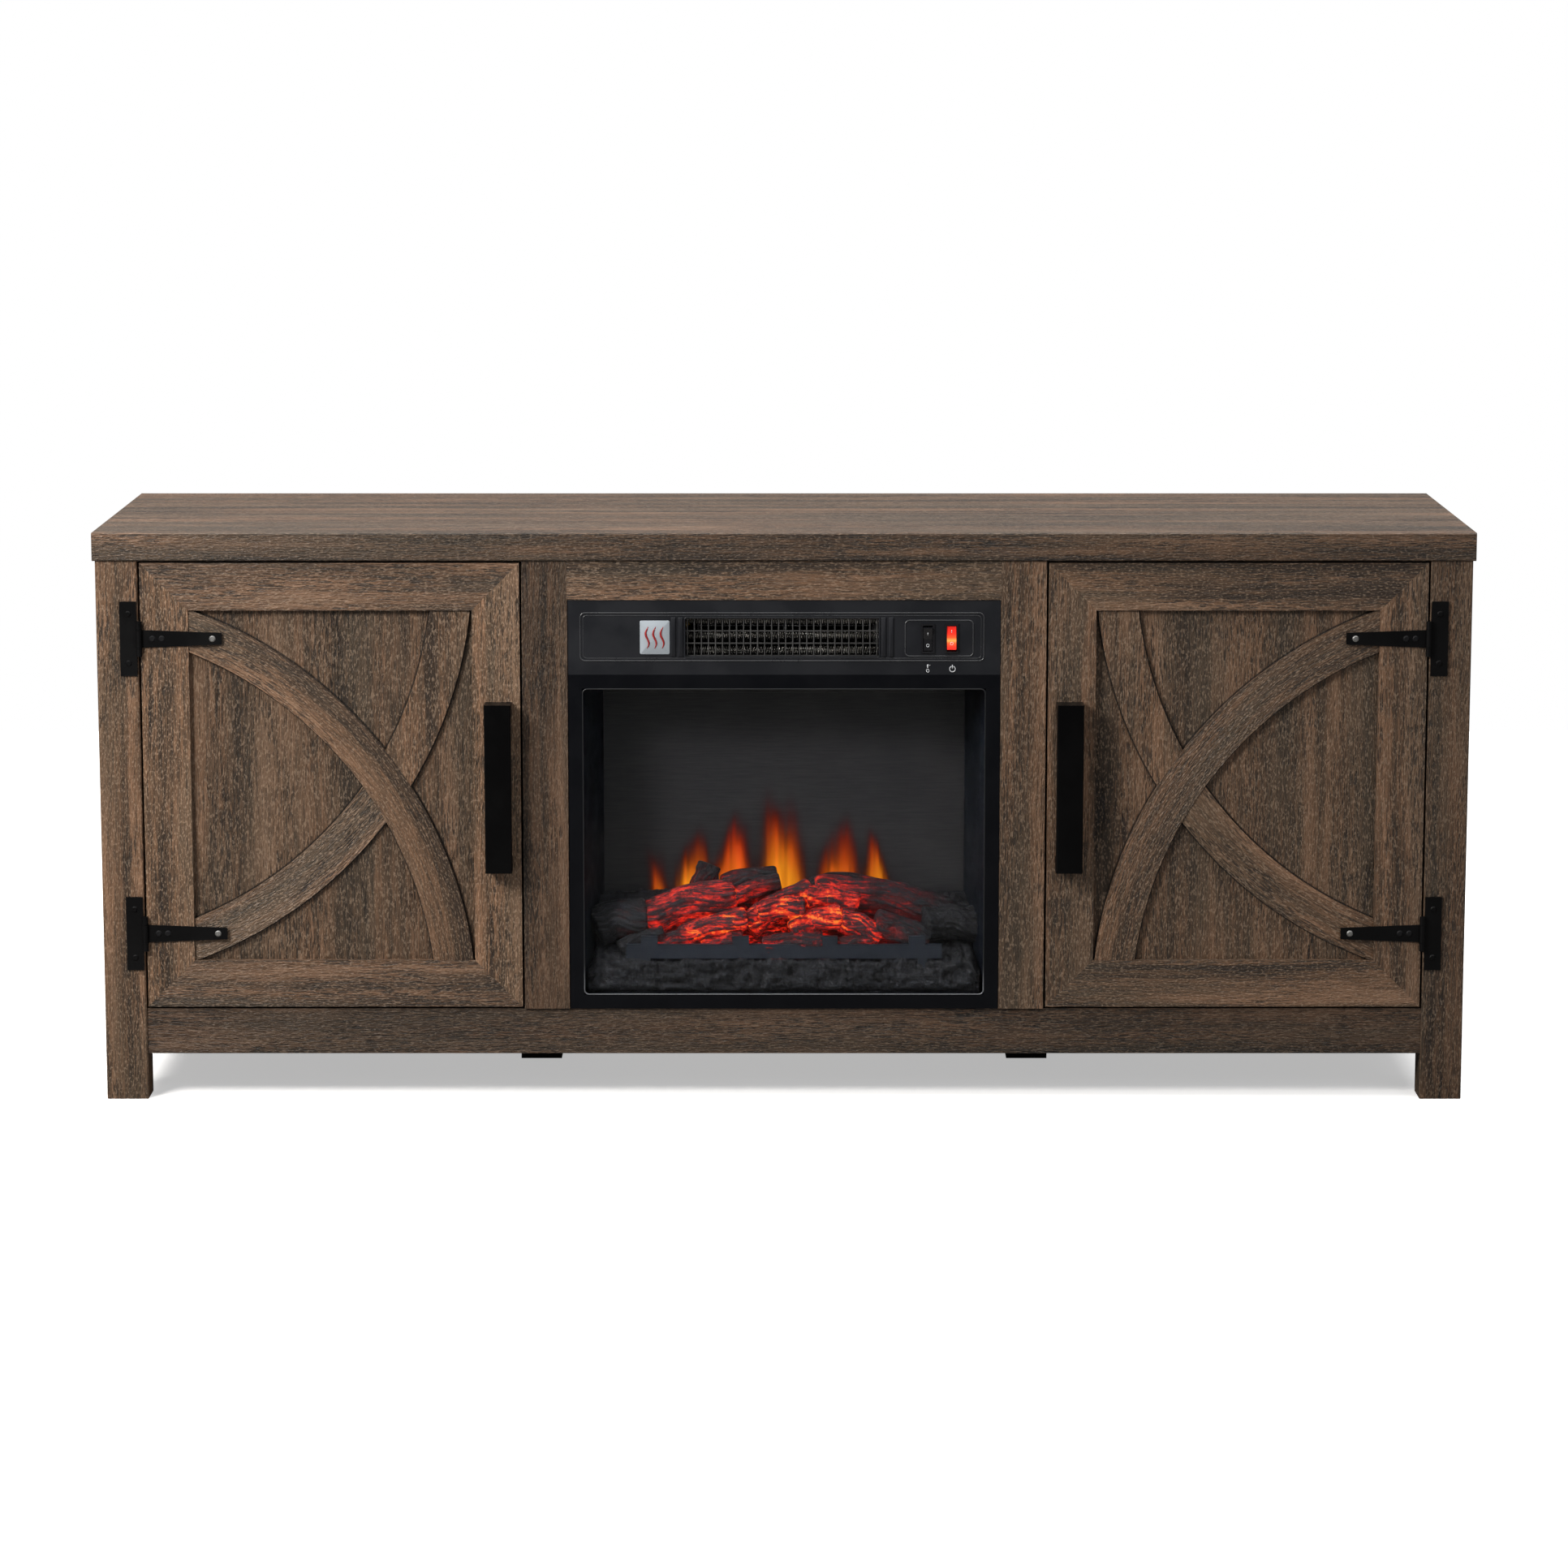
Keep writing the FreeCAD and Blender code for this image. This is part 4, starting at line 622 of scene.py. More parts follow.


# How light each board is drawn, where it isn't average: partly its own stretch of the print, partly painted
# light and shade, such as the lighter left door stiles and the darker lower front rail.
BOARD_TONES_WITH_PAINTED_LIGHT = {
    "top_panel": 0.64, "upper_front_rail": 0.90, "lower_front_rail": 0.48, "left_front_leg": 0.98,
    "right_front_leg": 0.74, "left_front_stile": 0.52, "right_front_stile": 0.88, "left_door_stiles": 1.30,
    "left_door_rails": 0.80, "left_door_panel": 0.86, "right_door_rails": 0.95, "right_door_stiles": 0.90,
    "right_door_panel": 0.88,
}
LEVEL_BOARDS = ("top_panel", "upper_front_rail", "lower_front_rail", "bottom_panel")
UPRIGHT_KINDS = ("front_leg", "rear_leg", "side_panel", "divider", "front_stile", "door_stiles",
                 "door_panel")
LEVEL_KINDS = ("door_rails", "shelf")


def dress_wood():
    """Every board has its own stretch of the print, with the grain along its length."""
    boards = [(name, "x", 0) for name in LEVEL_BOARDS]
    for side, sign in SIDES:
        boards += [(f"{side}_{kind}", "z", sign) for kind in UPRIGHT_KINDS]
        boards += [(f"{side}_{kind}", "x", sign) for kind in LEVEL_KINDS]
    for seed, (name, grain, sign) in enumerate(boards, 1):
        # A board's tone holds painted light and shade as well as its print's lightness.
        tone = BOARD_TONES_WITH_PAINTED_LIGHT.get(name, 1.0)
        if "door_panel" in name:
            dress([name], panel_wood(f"wood_{name}", sign, seed * 1.37, grey=1.0, tone=tone))
        else:
            dress([name], straight_wood(f"wood_{name}", grain, seed * 1.37, tone=tone))
    crossing = (DOOR_LOW[2] + DOOR_HIGH[2]) / 2 * MM
    for side, sign in SIDES:
        full = brace_wood(f"wood_{side}_brace", sign, DOOR_LOW[2] * MM, 31.0 + sign)
        # The left half braces are drawn a little lighter and the right ones a little darker: painted light
        # falling from the left.
        half = half_brace_wood(f"wood_{side}_half_braces", sign, DOOR_HIGH[2] * MM, 41.0 + sign, crossing,
                               tone=1.0 - 0.05 * sign)
        dress([f"{side}_door_brace"], full)
        dress([f"{side}_door_half_braces"], half)


def dress_metals(shell):
    """Ironwork, sheet metal and the moving metal parts; shell is the control panel's enamel."""
    iron = coated("black_iron_coat", (0.0022, 0.0022, 0.0025), 0.45, level=0.12)
    bar = coated("black_handle_coat", (0.0012, 0.0012, 0.0014), 0.36, level=0.10)
    surround = coated("satin_black_enamel", (0.0020, 0.0024, 0.0038), 0.42, 1400.0, 0.00004, level=0.12)
    zinc = coated("zinc_plate", (0.42, 0.42, 0.41), 0.34, 300.0, 0.00003, 0.95, 0.5)
    plated = coated("galvanised_sheet", (0.40, 0.41, 0.42), 0.45, 90.0, 0.00003, 0.9, 0.5)
    brass = coated("brass_bush", (0.55, 0.37, 0.13), 0.35, 400.0, 0.00003, 0.95, 0.5)
    motor = coated("motor_steel", (0.22, 0.22, 0.23), 0.40, 300.0, 0.00003, 0.9, 0.5)
    dress(["hinge_leaves", "left_hinge_straps", "right_hinge_straps", "leaf_screws", "hinge_pins"], iron)
    dress(["left_handle", "right_handle"], bar)
    dress(["control_panel"], shell)
    dress(["glass_frame", "insert_housing"], surround)
    dress(["fire_grate"], coated("grate_grey", (0.017, 0.022, 0.031), 0.5, 900.0, 0.00006, level=0.3))
    dress(["heater_grille"], coated("guard_wire", (0.13, 0.13, 0.13), 0.38, 900.0, 0.00002, 0.85, 0.4))
    dress(["left_door_fixings", "right_door_fixings"], fixings_finish())
    dress(["shelf_pins"], zinc)
    dress(["rear_cover", "air_duct"], plated)
    dress(["shaft_bushes"], brass)
    dress(["drive_motors", "blower_wheel"], motor)
    dress(["flame_rotor"], coated("reflector_foil", (0.75, 0.75, 0.76), 0.18, 200.0, 0.00002, 1.0, 0.5))


def dress_plastics():
    """Switches, feet, light board, hardboard backs, screen and pane."""
    black = coated("black_plastic", (0.010, 0.010, 0.012), 0.30, 1000.0, 0.00003, level=0.35)
    dress(["switch_bezels", "heat_switch", "cable_gland", "door_magnets"], black)
    dress(["center_feet"], coated("foot_black", (0.012, 0.012, 0.013), 0.5, 500.0, 0.00005))
    dress(["light_board"], coated("board_green", (0.02, 0.10, 0.04), 0.4, 700.0, 0.00003))
    dress(["left_back_panel", "right_back_panel"], hardboard_finish())
    dress(["flame_screen"], screen_finish())
    dress(["glass_pane"], pane_finish())
    low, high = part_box("power_switch")
    dress(["power_switch"], lit_rocker_finish((low.z + high.z) / 2))


# ---------------------------------------------------------------- control panel details

def panel_ridges(finish):
    """Pressed lines on the control panel: two round its long field and one round the switches."""
    lines = ((around("heater_grille", 109.5, 109.5, 1.5, 3), 5, 0.75),
             (around("heater_grille", 106.5, 106.5, -1.2, 0.3), 4, 0.35),
             (around("switch_bezels", 16.75, 15.75, 3, 3.5), 4.5, 0.7))
    beads = [closed_bead(rounded_outline(*place, corner), FACIA, radius) for place, corner, radius in lines]
    new_piece("panel_ridges", joined(beads), finish, "root")


def panel_ribs(finish):
    """Two upright ribs each side of the air outlet."""
    width = 5.6
    starts = (GUARD_LOW[0] - 13, GUARD_LOW[0] - 5.2, GUARD_HIGH[0] - 0.4, GUARD_HIGH[0] + 7.6)
    upright = (GUARD_LOW[2] + 2.5, GUARD_HIGH[2] - 1.5)
    plates = [raised_plate((x, x + width), upright, 1.2, FACIA + 0.5, FACIA - 1.1, 0.9) for x in starts]
    new_piece("panel_ribs", joined(plates), finish, "root")


def outlet_rim(finish):
    """Thin raised rim over the edge of the air outlet's guard."""
    rim = closed_bead(rounded_outline(*around("heater_grille", -2, -2, -2, -2), 2), FACIA, 0.8)
    new_piece("outlet_rim", rim, finish, "root")


def heat_label():
    """Plain pale plate left of the outlet, with three tubes that sway like sine waves for rising heat."""
    pale = coated("label_plate", (0.33, 0.37, 0.41), 0.5, 500.0, 0.00002, level=0.4)
    red = coated("label_red", (0.30, 0.02, 0.02), 0.5, 500.0, 0.00002)
    thickness = 0.35
    left, right = GUARD_LOW[0] - 45.8, GUARD_LOW[0] - 14
    upright = (GUARD_LOW[2] + 5.6, GUARD_HIGH[2] - 5.2)
    plate = raised_plate((left, right), upright, 1.5, FACIA + 0.3, FACIA - thickness, 0.2)
    new_piece("label_plate", plate, pale, "root")
    rise = np.linspace(0, 1, 28)
    waves = []
    for step in (-1, 0, 1):
        sway = (left + right) / 2 - 0.1 + 8 * step + 1.7 * np.sin(rise * 2.2 * math.pi)
        path = np.column_stack([sway, np.full(len(rise), FACIA - thickness), upright[0] + 6.4 + 23 * rise])
        waves.append(tube(path, 1.15 * np.sin(math.pi * (0.12 + 0.76 * rise)), 8))
    new_piece("label_heat_lines", joined(waves), red, "root")


def printed_signs(white):
    """Thermometer sign and power sign under the switches, each drawn with thin tubes and beads."""
    y = FACIA - 0.1
    base = GUARD_LOW[2] - 10.4
    stem_x = low_high("heat_switch")[0][0] + 4.9
    ring_x = low_high("power_switch")[0][0] + 5.8
    stem = [(stem_x, y, base + 0.9), (stem_x, y, base + 4.9)]
    bulb = closed_bead(rounded_outline((stem_x - 1.5, stem_x + 1.5), (base - 3.4, base - 0.4), 1.49), y, 0.4)
    scale = [(stem_x + 1.8, y, base + 4.2), (stem_x + 2.8, y, base + 4.2)]
    turn = np.linspace(0.35, 2 * math.pi - 0.35, 30) + math.pi / 2
    ring = np.column_stack([ring_x + 3 * np.cos(turn), np.full(len(turn), y), base + 3 * np.sin(turn)])
    stroke = [(ring_x, y, base + 0.4), (ring_x, y, base + 4.6)]
    parts = [tube(stem, 0.75, 8), bulb, tube(scale, 0.3, 8), tube(ring, 0.5, 8), tube(stroke, 0.5, 8)]
    new_piece("switch_signs", joined(parts), white, "root")


def rocker_marks(white):
    """A bar on each rocker's upper half and a ring on its lower half.

    A rocker's face is a shallow valley, 3 mm in front of its pivot at the middle and rising towards both
    ends. The marks are laid on that face and then turned about the pivot, half the rocker's travel.
    """
    slope = 2.2 / 12.4
    reach = 6.5
    depth = -3.02 - reach * slope
    bar = tube([(0, depth - 0.144, reach + 1.6), (0, depth + 0.144, reach - 1.6)], 0.38, 8)
    turn = np.linspace(0, 2 * math.pi, 20, endpoint=False)
    ring, ring_faces = closed_bead(np.column_stack([1.5 * np.cos(turn), 1.5 * np.sin(turn)]), 0, 0.3)
    ring[:, 1] += depth + slope * ring[:, 2]
    ring[:, 2] -= reach
    marks, faces = joined([bar, (ring, ring_faces)])
    for node, body, lean in (("heat_switch", "heat_rocker", 10), ("power_switch", "power_rocker", -10)):
        low, high = low_high(node)
        tilt = math.radians(lean)
        spun = np.column_stack([marks[:, 0], marks[:, 1] * math.cos(tilt) - marks[:, 2] * math.sin(tilt),
                                marks[:, 1] * math.sin(tilt) + marks[:, 2] * math.cos(tilt)])
        pivot = np.array([(low[0] + high[0]) / 2, FACIA + 2.8, (low[2] + high[2]) / 2])
        new_piece(f"{body}_marks", (spun + pivot, faces), white, body)


def heating_coils():
    """Three wound wires between mica ends: each a helix about a level axis."""
    wire = coated("coil_wire", (0.60, 0.58, 0.55), 0.32, 900.0, 0.00002, 1.0, 0.5)
    mica = coated("mica_card", (0.10, 0.085, 0.065), 0.6, 300.0, 0.00005)
    pitch = 2.5
    coil_radius = 4
    row_step = 16
    left, right = COIL_LOW[0] + 4, COIL_HIGH[0] - 4
    turns = (right - left) / pitch
    t = np.linspace(0, 1, int(turns * 10))
    angle = t * turns * 2 * math.pi
    x = left + (right - left) * t
    y = (COIL_LOW[1] + COIL_HIGH[1]) / 2 + coil_radius * np.cos(angle)
    z = (COIL_LOW[2] + COIL_HIGH[2]) / 2 - 1 + coil_radius * np.sin(angle)
    rows = [tube(np.column_stack([x, y, z + row_step * step]), 0.5, 5) for step in (-1, 0, 1)]
    coils = new_piece("heating_coils", joined(rows), wire, "root")
    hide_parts("heating_element")
    upright = (COIL_LOW[2] + 0.5, COIL_HIGH[2] - 0.5)
    flat, faces = raised_plate(upright, (COIL_LOW[1], COIL_HIGH[1]), 2, -1, 1, 0.3)
    cards = [(np.column_stack([flat[:, 1] + end, flat[:, 2], flat[:, 0]]), faces)
             for end in (COIL_LOW[0] + 1.2, COIL_HIGH[0] - 1.2)]
    new_piece("coil_mica_ends", joined(cards), mica, "root")


# ---------------------------------------------------------------- firebox

def window_bead():
    """Thin rolled bead round the window, just proud of the frame's inner edge."""
    inset = -15.6
    outline = rounded_outline(*around("glass_frame", inset, inset, inset, inset), 5)
    bead = closed_bead(outline, FRAME_LOW[1] + 0.4, 0.7)
    new_piece("window_bead", bead, bead_finish(), "root")


def rear_slot_shade_sheet():
    """Black sheet over the inside of the rear air slots that puts shade behind the air outlet by stopping
    the light through them: a thin slab with a fine-grained face.
    """
    shade_black = coated("shade_sheet_black", (0.010, 0.010, 0.011), 0.8, 1100.0, 0.00008, level=0.1)
    # A dark sheet that stands for the shade behind the outlet.
    cover = low_high("rear_cover")[0][1]
    slab = raised_plate(*around("rear_cover", -75, -75, -330, -17), 4, cover - 0.3, cover - 1.5, 0.3)
    new_piece("rear_slot_shade_sheet", slab, shade_black, "root")


def firebox_liner():
    """Dark sheet walls and ceiling: an arch outline that narrows evenly from the window to the screen."""
    navy = coated("liner_navy", (0.006, 0.008, 0.012), 0.5, 700.0, 0.00005, level=0.25)
    foot = FRAME_LOW[2] + 3
    run = np.linspace(0, 3, 34)
    ends = []
    for y, half, top in ((PANE_HIGH[1] + 3, FRAME_HIGH[0] - 15, FRAME_HIGH[2] - 15.5),
                         (SCREEN_LOW[1] - 1.5, FRAME_HIGH[0] - 34, FRAME_HIGH[2] - 23.5)):
        corners = np.array([(half, y, foot), (half, y, top), (-half, y, top), (-half, y, foot)])
        ends.append(np.stack([np.interp(run, range(4), corners[:, axis]) for axis in range(3)], -1))
    depth = np.linspace(0, 1, 8)[:, None, None]
    inner = ends[0] * (1 - depth) + ends[1] * depth
    outer = inner * (1.004, 1, 1) + (0, 0, 0.8)
    new_piece("firebox_liner", closed_sheet(inner, outer), navy, "root", smooth=False)


# Flame tongues: middle, top, half-width (mm), lean (mm), how yellow the root is, and brightness.
TONGUES = (
    (-137, 272, 10, -8, 0.60, 0.42),
    (-101, 292, 15, 6, 0.9, 1.0),
    (-58, 312, 18, 12, 0.55, 1.0),
    (-2, 338, 23, -4, 0.85, 0.95),
    (59, 306, 18, 4, 0.60, 1.0),
    (102, 292, 12, -7, 0.95, 0.85),
)

# Height of the flames' roots, and how far their sheet reaches across and up.
FLAME_ROOT = 196
FLAME_X = (-172, 136)
FLAME_Z = (186, 352)


def flame_light(x, z):
    """Brightness and yellowness of the flames.

    A tongue is three licks side by side. Each is a bell curve across x about a swaying centre, and it
    narrows, leans and fades from the root to its tip.
    """
    glow = np.zeros_like(x)
    yellow = np.zeros_like(x)
    for number, (middle, top, half, lean, warm, power) in enumerate(TONGUES):
        t = np.clip((z - FLAME_ROOT) / (top - FLAME_ROOT), 0, 1.4)
        for lick in range(3):
            shift = (lick - 1) * half * 0.62
            reach = (1.0, 0.86, 0.93)[(lick + number) % 3]
            tip = np.clip(t / reach, 0, 1)
            centre = middle + shift * (1 - 0.35 * tip) + lean * tip ** 2
            centre = centre + 2.2 * np.sin(tip * 5 + number * 2.1 + lick * 1.7)
            width = half * 0.55 * (1 - tip) ** 0.45 + 1.8
            body = np.exp(-((x - centre) / width) ** 2) * np.clip(1 - tip, 0, 1) ** 1.15
            glow += body * power * 0.80
            yellow += body * power * (warm * np.clip(1.2 - tip * 1.2, 0, 1))
    return glow, yellow


def flame_picture():
    """Thin sheet just in front of the screen: its front carries the flames' light, its back is clear."""
    u, v = np.meshgrid(np.linspace(0, 1, 300), np.linspace(0, 1, 132))
    x = FLAME_X[0] + (FLAME_X[1] - FLAME_X[0]) * u
    z = FLAME_Z[0] + (FLAME_Z[1] - FLAME_Z[0]) * v
    glow, yellow = flame_light(x, z)
    streaks = lattice(u, v, 92, 5, 11) * 0.6 + lattice(u, v, 38, 3, 12) * 0.4
    glow = np.clip(glow * (0.55 + 0.85 * streaks), 0, 1.25)
    share = np.clip(yellow / np.maximum(glow, 0.05), 0, 1)
    front = np.stack([x, np.full_like(x, SCREEN_LOW[1] - 0.6), z], -1)
    pair = np.column_stack([np.clip(glow, 0, 1).ravel(), share.ravel()])
    pair = np.concatenate([pair, np.zeros_like(pair)])
    sheet = closed_sheet(front, front + (0, 0.3, 0))
    new_piece("flame_picture", sheet, flame_finish(), "root", smooth=False, pair=pair)


# Logs, listed one by one: start, end, radius at start, radius at end, bend (mm), heat at start, heat at end.
LOG_TABLE = (
    ((-206, -138, 178), (-150, -136, 190), 22, 22, 4, 0.00, 0.12),
    ((-152, -138, 186), (-54, -128, 214), 23, 19, 5, 0.45, 0.72),
    ((-90, -116, 216), (-80, -114, 245), 14, 12, 1, 0.30, 0.08),
    ((-64, -118, 218), (-8, -118, 232), 15, 12, 4, 0.42, 0.05),
    ((-56, -134, 212), (-4, -134, 230), 10, 9, 2, 0.80, 0.30),
    ((30, -112, 215), (92, -110, 217), 14, 14, 5, 0.05, 0.12),
    ((34, -126, 215), (182, -116, 188), 22, 20, 7, 0.62, 0.06),
    ((150, -138, 184), (212, -126, 182), 21, 20, 3, 0.04, 0.0),
    ((-40, -144, 182), (30, -132, 222), 15, 13, 3, 0.90, 0.78),
    ((-28, -150, 196), (22, -150, 204), 11, 12, 3, 0.80, 0.90),
    ((24, -142, 214), (80, -138, 206), 12, 12, 3, 0.85, 0.70),
    ((-112, -150, 170), (-40, -152, 192), 12, 13, 3, 0.78, 1.0),
    ((8, -152, 178), (62, -152, 194), 12, 14, 4, 0.90, 1.0),
    ((60, -152, 190), (104, -152, 172), 14, 12, 3, 1.0, 0.65),
    ((98, -150, 184), (156, -148, 166), 17, 15, 2, 0.32, 0.08),
    ((-136, -152, 160), (-98, -154, 172), 12, 10, 2, 0.40, 0.55),
    ((-88, -156, 160), (-44, -156, 170), 10, 10, 2, 0.80, 0.60),
    ((-22, -156, 160), (42, -156, 168), 12, 12, 2, 0.55, 0.45),
    ((62, -156, 160), (96, -156, 170), 11, 10, 2, 0.55, 0.35),
    ((-176, -150, 154), (-130, -148, 176), 13, 12, 2, 0.0, 0.15),
)


def bark_log(start, stop, wide, narrow, bend, heat, seed):
    """Round log: a tube along a path bent like half a sine wave.

    Its radius runs evenly from wide to narrow, times slow lumps, plus ridges that run along the log, less
    narrow cracks where a coarser noise crosses its middle value. It draws in at both ends. Its heat runs
    evenly from one end to the other.
    """
    rings, sides = 44, 112
    t = np.linspace(0, 1, rings)
    start = np.array(start, float)
    stop = np.array(stop, float)
    path = start + (stop - start) * t[:, None]
    path[:, 2] += bend * np.sin(math.pi * t)
    path[:, 1] += 0.6 * bend * np.sin(math.pi * t * 1.7)
    u, v = np.meshgrid(t, np.arange(sides) / sides, indexing="ij")
    twist = (v + 0.10 * u + 0.02 * np.sin(9 * u)) % 1.0
    length = np.linalg.norm(stop - start)
    ridges = lattice(u, twist, max(2, int(length / 24)), int(wide * 2.1), seed, True)
    plates = lattice(u, twist, max(4, int(length / 9)), 9, seed + 50, True)
    lumps = lattice(u, v, 4, 4, seed + 90, True)
    ridge = np.clip((ridges - 0.30) * 2.4, 0, 1)
    crack = np.clip(1 - np.abs(plates - 0.5) / 0.06, 0, 1)
    radius = wide + (narrow - wide) * u
    radius = radius * (0.86 + 0.20 * lumps) + 2.4 * (ridge - 0.5) - 1.4 * crack
    cap = np.clip(np.minimum(u, 1 - u) / 0.05, 0, 1)
    radius = radius * (0.80 + 0.20 * np.sqrt(cap))
    warm = heat[0] + (heat[1] - heat[0]) * u
    warm = np.concatenate([warm.ravel(), [heat[0] * 0.5, heat[1] * 0.5]])
    ridge = np.concatenate([np.clip(ridge - 0.5 * crack, 0, 1).ravel(), [0.6, 0.6]])
    return tube(path, radius, sides), warm, ridge


def ember_bank():
    """Rocky bed: one closed profile carried along X, each of its points pushed outwards by summed noise.

    The profile runs up the front lip, back over the top and down the rear; it is lower towards its two ends.
    """
    columns, sides = 300, 120
    half = LOGS_HIGH[0] - 2
    low = LOGS_LOW[2] + 1
    front = GRATE_LOW[1] - 1
    back = LOGS_HIGH[1] - 1
    corners = np.array([(front, low), (front, low + 13), (front + 3, low + 17), (front + 5, low + 44),
                        (front + 13, low + 50), (front + 34, low + 62), (back - 14, low + 112),
                        (back, low + 110), (back, low)], float)
    gaps = np.linalg.norm(np.diff(np.vstack([corners, corners[:1]]), axis=0), axis=1)
    marks = np.concatenate([[0], np.cumsum(gaps)]) / gaps.sum()
    v = np.arange(sides) / sides
    loop = np.vstack([corners, corners[:1]])
    y = np.interp(v, marks, loop[:, 0])
    z = np.interp(v, marks, loop[:, 1])
    u = np.linspace(0, 1, columns)
    grid_u, grid_v = np.meshgrid(u, v, indexing="ij")
    lump = 0.0
    for cells, size, seed in ((34, 0.5, 3), (70, 0.3, 4), (140, 0.2, 5)):
        flat = lattice(grid_u, grid_v, int(cells * 0.8), int(cells * 1.2), seed, True)
        lump = lump + size * (1 - np.abs(flat - 0.5) * 2)
    slope = np.clip((grid_v - marks[1]) / 0.02, 0, 1) * np.clip((marks[7] - grid_v) / 0.02, 0, 1)
    out_y = np.interp(grid_v, marks[:9], (0, -0.3, -1, -1, -0.5, -0.3, -0.3, 0, 0))
    out_z = np.interp(grid_v, marks[:9], (0, 0, 0.1, 0.2, 0.9, 1, 1, 0, 0))
    push = (lump - 0.62) * 17 * slope
    edge = np.clip(np.minimum(grid_u, 1 - grid_u) / 0.02, 0.35, 1)
    x = -half + 2 * half * grid_u
    facing = np.clip(1.7 - 1.7 * np.abs(grid_v - (marks[2] + marks[3]) / 2) / (marks[3] - marks[1]), 0, 1)
    ys = np.clip(y[None] + push * out_y - 7.5 * facing, front - 6.6 * slope, back)
    zs = np.maximum(z[None] + push * out_z, low)
    side_rise = np.clip((np.abs(x) - 150) / 50, 0, 1) * slope
    high_part = np.clip((zs - low - 46) / 12, 0, 1)
    zs = low + (zs - low) * (0.62 + 0.38 * edge) * (1 - 0.06 * high_part * side_rise)
    rings = np.stack([x, ys, zs], -1)
    middles = np.array([(end, y.mean(), z.mean() - 10) for end in (-half, half)])
    heat = 0.80 * np.clip(1 - np.abs(x) / 150, 0, 1) ** 0.5 * np.clip((zs - low - 46) / 10, 0, 1)
    heat = heat * np.clip((low + 112 - zs) / 14, 0.1, 1)
    heat = np.concatenate([heat.ravel(), [0, 0]])
    ridge = np.concatenate([np.clip(lump, 0, 1).ravel(), [0.5, 0.5]])
    return closed_run(rings, middles), heat, ridge


def fire_bed():
    """Moulded bed of logs and embers that stands for the plain heap."""
    resin = log_finish()
    logs = []
    heats = []
    ridges = []
    for number, (start, stop, wide, narrow, bend, hot, warm) in enumerate(LOG_TABLE, 1):
        log, heat, ridge = bark_log(start, stop, wide, narrow, bend, (hot, warm), number)
        logs.append(log)
        heats.append(heat)
        ridges.append(ridge)
    heap = new_piece("fire_logs", joined(logs), resin, "root",
                     pair=np.column_stack([np.concatenate(heats), np.concatenate(ridges)]))
    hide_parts("log_set")
    bank, heat, ridge = ember_bank()
    new_piece("ember_bank", bank, resin, "root", pair=np.column_stack([heat, ridge]))


# ---------------------------------------------------------------- studio

def area_light(name, place, aim, size, power, colour):
    """Rectangular light of the given size (m) and power (W), turned from its place towards its aim."""
    data = bpy.data.lights.new(name, "AREA")
    data.shape = "RECTANGLE"
    data.size, data.size_y = size
    data.energy = power
    data.color = colour
    light = bpy.data.objects.new(name, data)
    bpy.context.scene.collection.objects.link(light)
    light.location = place
    along = np.array(aim, float) - np.array(place, float)
    flat = math.hypot(along[0], along[1])
    light.rotation_euler = (math.atan2(flat, -along[2]), 0, math.atan2(along[1], along[0]) - math.pi / 2)


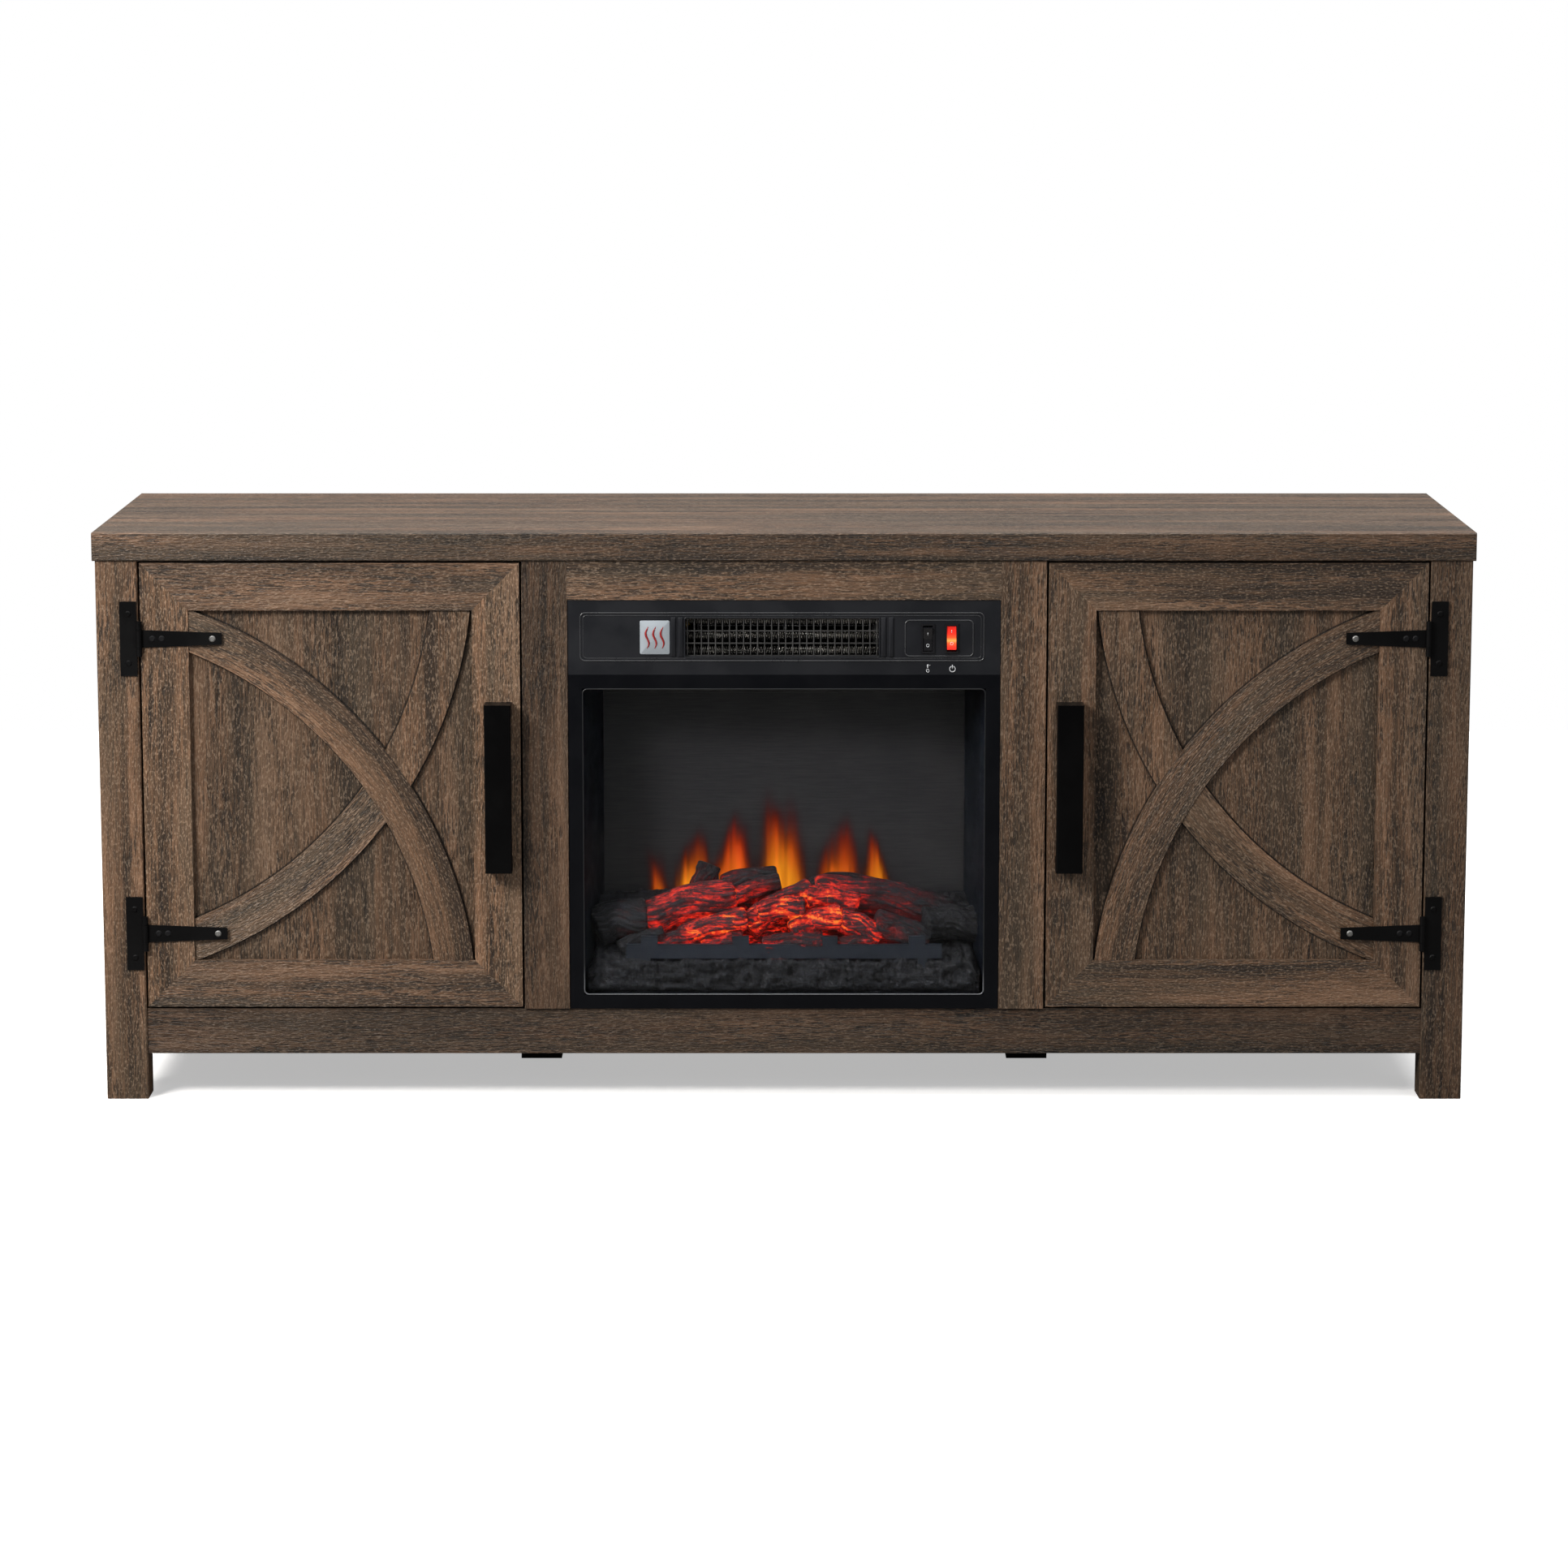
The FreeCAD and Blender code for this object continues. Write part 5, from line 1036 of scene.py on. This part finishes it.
def studio():
    """Pale floor, white surroundings, a small key light from the upper left, a fill and a wide top light.

    The floor is pale to the camera and dull to bounced light, and it shines a little for the camera only,
    which keeps the shadow under the stand soft and the firebox dark.
    """
    points = [(-3.2, -1.9, 0), (3.2, -1.9, 0), (3.2, 2.4, 0), (-3.2, 2.4, 0)]
    mesh = bpy.data.meshes.new("floor")
    mesh.from_pydata(points, [], [(0, 1, 2, 3)])
    f = Finish("pale_floor")
    tone = f.ramp(f.noise(f.place(), 3.0, 2.0), ((0.3, (0.90, 0.90, 0.90)), (0.7, (0.93, 0.93, 0.93))))
    seen = f.add("ShaderNodeLightPath").outputs["Is Camera Ray"]
    dulled = f.mix(seen, (0.22, 0.21, 0.20), tone)
    lift = f.mix(seen, (0.0, 0.0, 0.0), (1.0, 1.0, 1.0))
    matt = f.principled({"Base Color": dulled, "Roughness": 0.9, "Specular IOR Level": 0.1,
                         "Emission Color": lift, "Emission Strength": 0.45})
    mesh.materials.append(f.show(matt))
    floor = bpy.data.objects.new("floor", mesh)
    bpy.context.scene.collection.objects.link(floor)
    world = bpy.data.worlds.new("studio_white")
    world.use_nodes = True
    bpy.context.scene.world = world
    tree = world.node_tree
    tree.nodes.clear()
    sky = tree.nodes.new("ShaderNodeBackground")
    sky.inputs["Color"].default_value = (1.0, 1.0, 1.0, 1.0)
    soft = tree.nodes.new("ShaderNodeBackground")
    soft.inputs["Color"].default_value = (1.0, 0.99, 0.98, 1.0)
    soft.inputs["Strength"].default_value = 0.10
    sight = tree.nodes.new("ShaderNodeLightPath")
    blend = tree.nodes.new("ShaderNodeMixShader")
    out = tree.nodes.new("ShaderNodeOutputWorld")
    tree.links.new(sight.outputs["Is Camera Ray"], blend.inputs[0])
    tree.links.new(soft.outputs[0], blend.inputs[1])
    tree.links.new(sky.outputs[0], blend.inputs[2])
    tree.links.new(blend.outputs[0], out.inputs[0])
    area_light("key_light", (-1.7, -1.75, 1.8), (-0.35, -0.2, 0.4), (0.8, 0.8), 74, (1.0, 0.97, 0.93))
    area_light("fill_light", (2.6, -3.6, 2.6), (0.2, -0.2, 0.3), (2.0, 2.0), 24, (0.96, 0.98, 1.0))
    area_light("top_light", (0.0, 0.5, 3.4), (0.0, 0.1, 0.0), (6.4, 4.6), 280, (1.0, 0.99, 0.97))


def camera():
    """Long lens straight in front of the stand, a little above it and tipped down."""
    data = bpy.data.cameras.new("camera")
    data.lens = 108.9
    data.sensor_width = 36
    eye = bpy.data.objects.new("camera", data)
    bpy.context.scene.collection.objects.link(eye)
    distance, height, tip = 5.0146, 1.18545, 9.495
    eye.location = (0.0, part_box("top_panel")[0].y - distance, height)
    eye.rotation_euler = (math.radians(90 - tip), 0, 0)
    bpy.context.scene.camera = eye


ENAMEL = coated("textured_black_enamel", (0.008, 0.009, 0.012), 0.48, 1400.0, 0.00006, level=0.3)
WHITE = coated("printed_white", (0.55, 0.57, 0.60), 0.5, 500.0, 0.00001)
dress_wood()
dress_metals(ENAMEL)
dress_plastics()
# The pressed lines' enamel is drawn lighter than the panel's own: a painted highlight along the ridges.
panel_ridges(coated("ridge_enamel_painted_highlight", (0.030, 0.032, 0.036), 0.28, 900.0, 0.00002, level=0.8))
panel_ribs(ENAMEL)
outlet_rim(ENAMEL)
heat_label()
printed_signs(WHITE)
rocker_marks(WHITE)
heating_coils()
window_bead()
rear_slot_shade_sheet()
firebox_liner()
flame_picture()
fire_bed()
studio()
camera()
bpy.context.scene.view_settings.view_transform = "Standard"
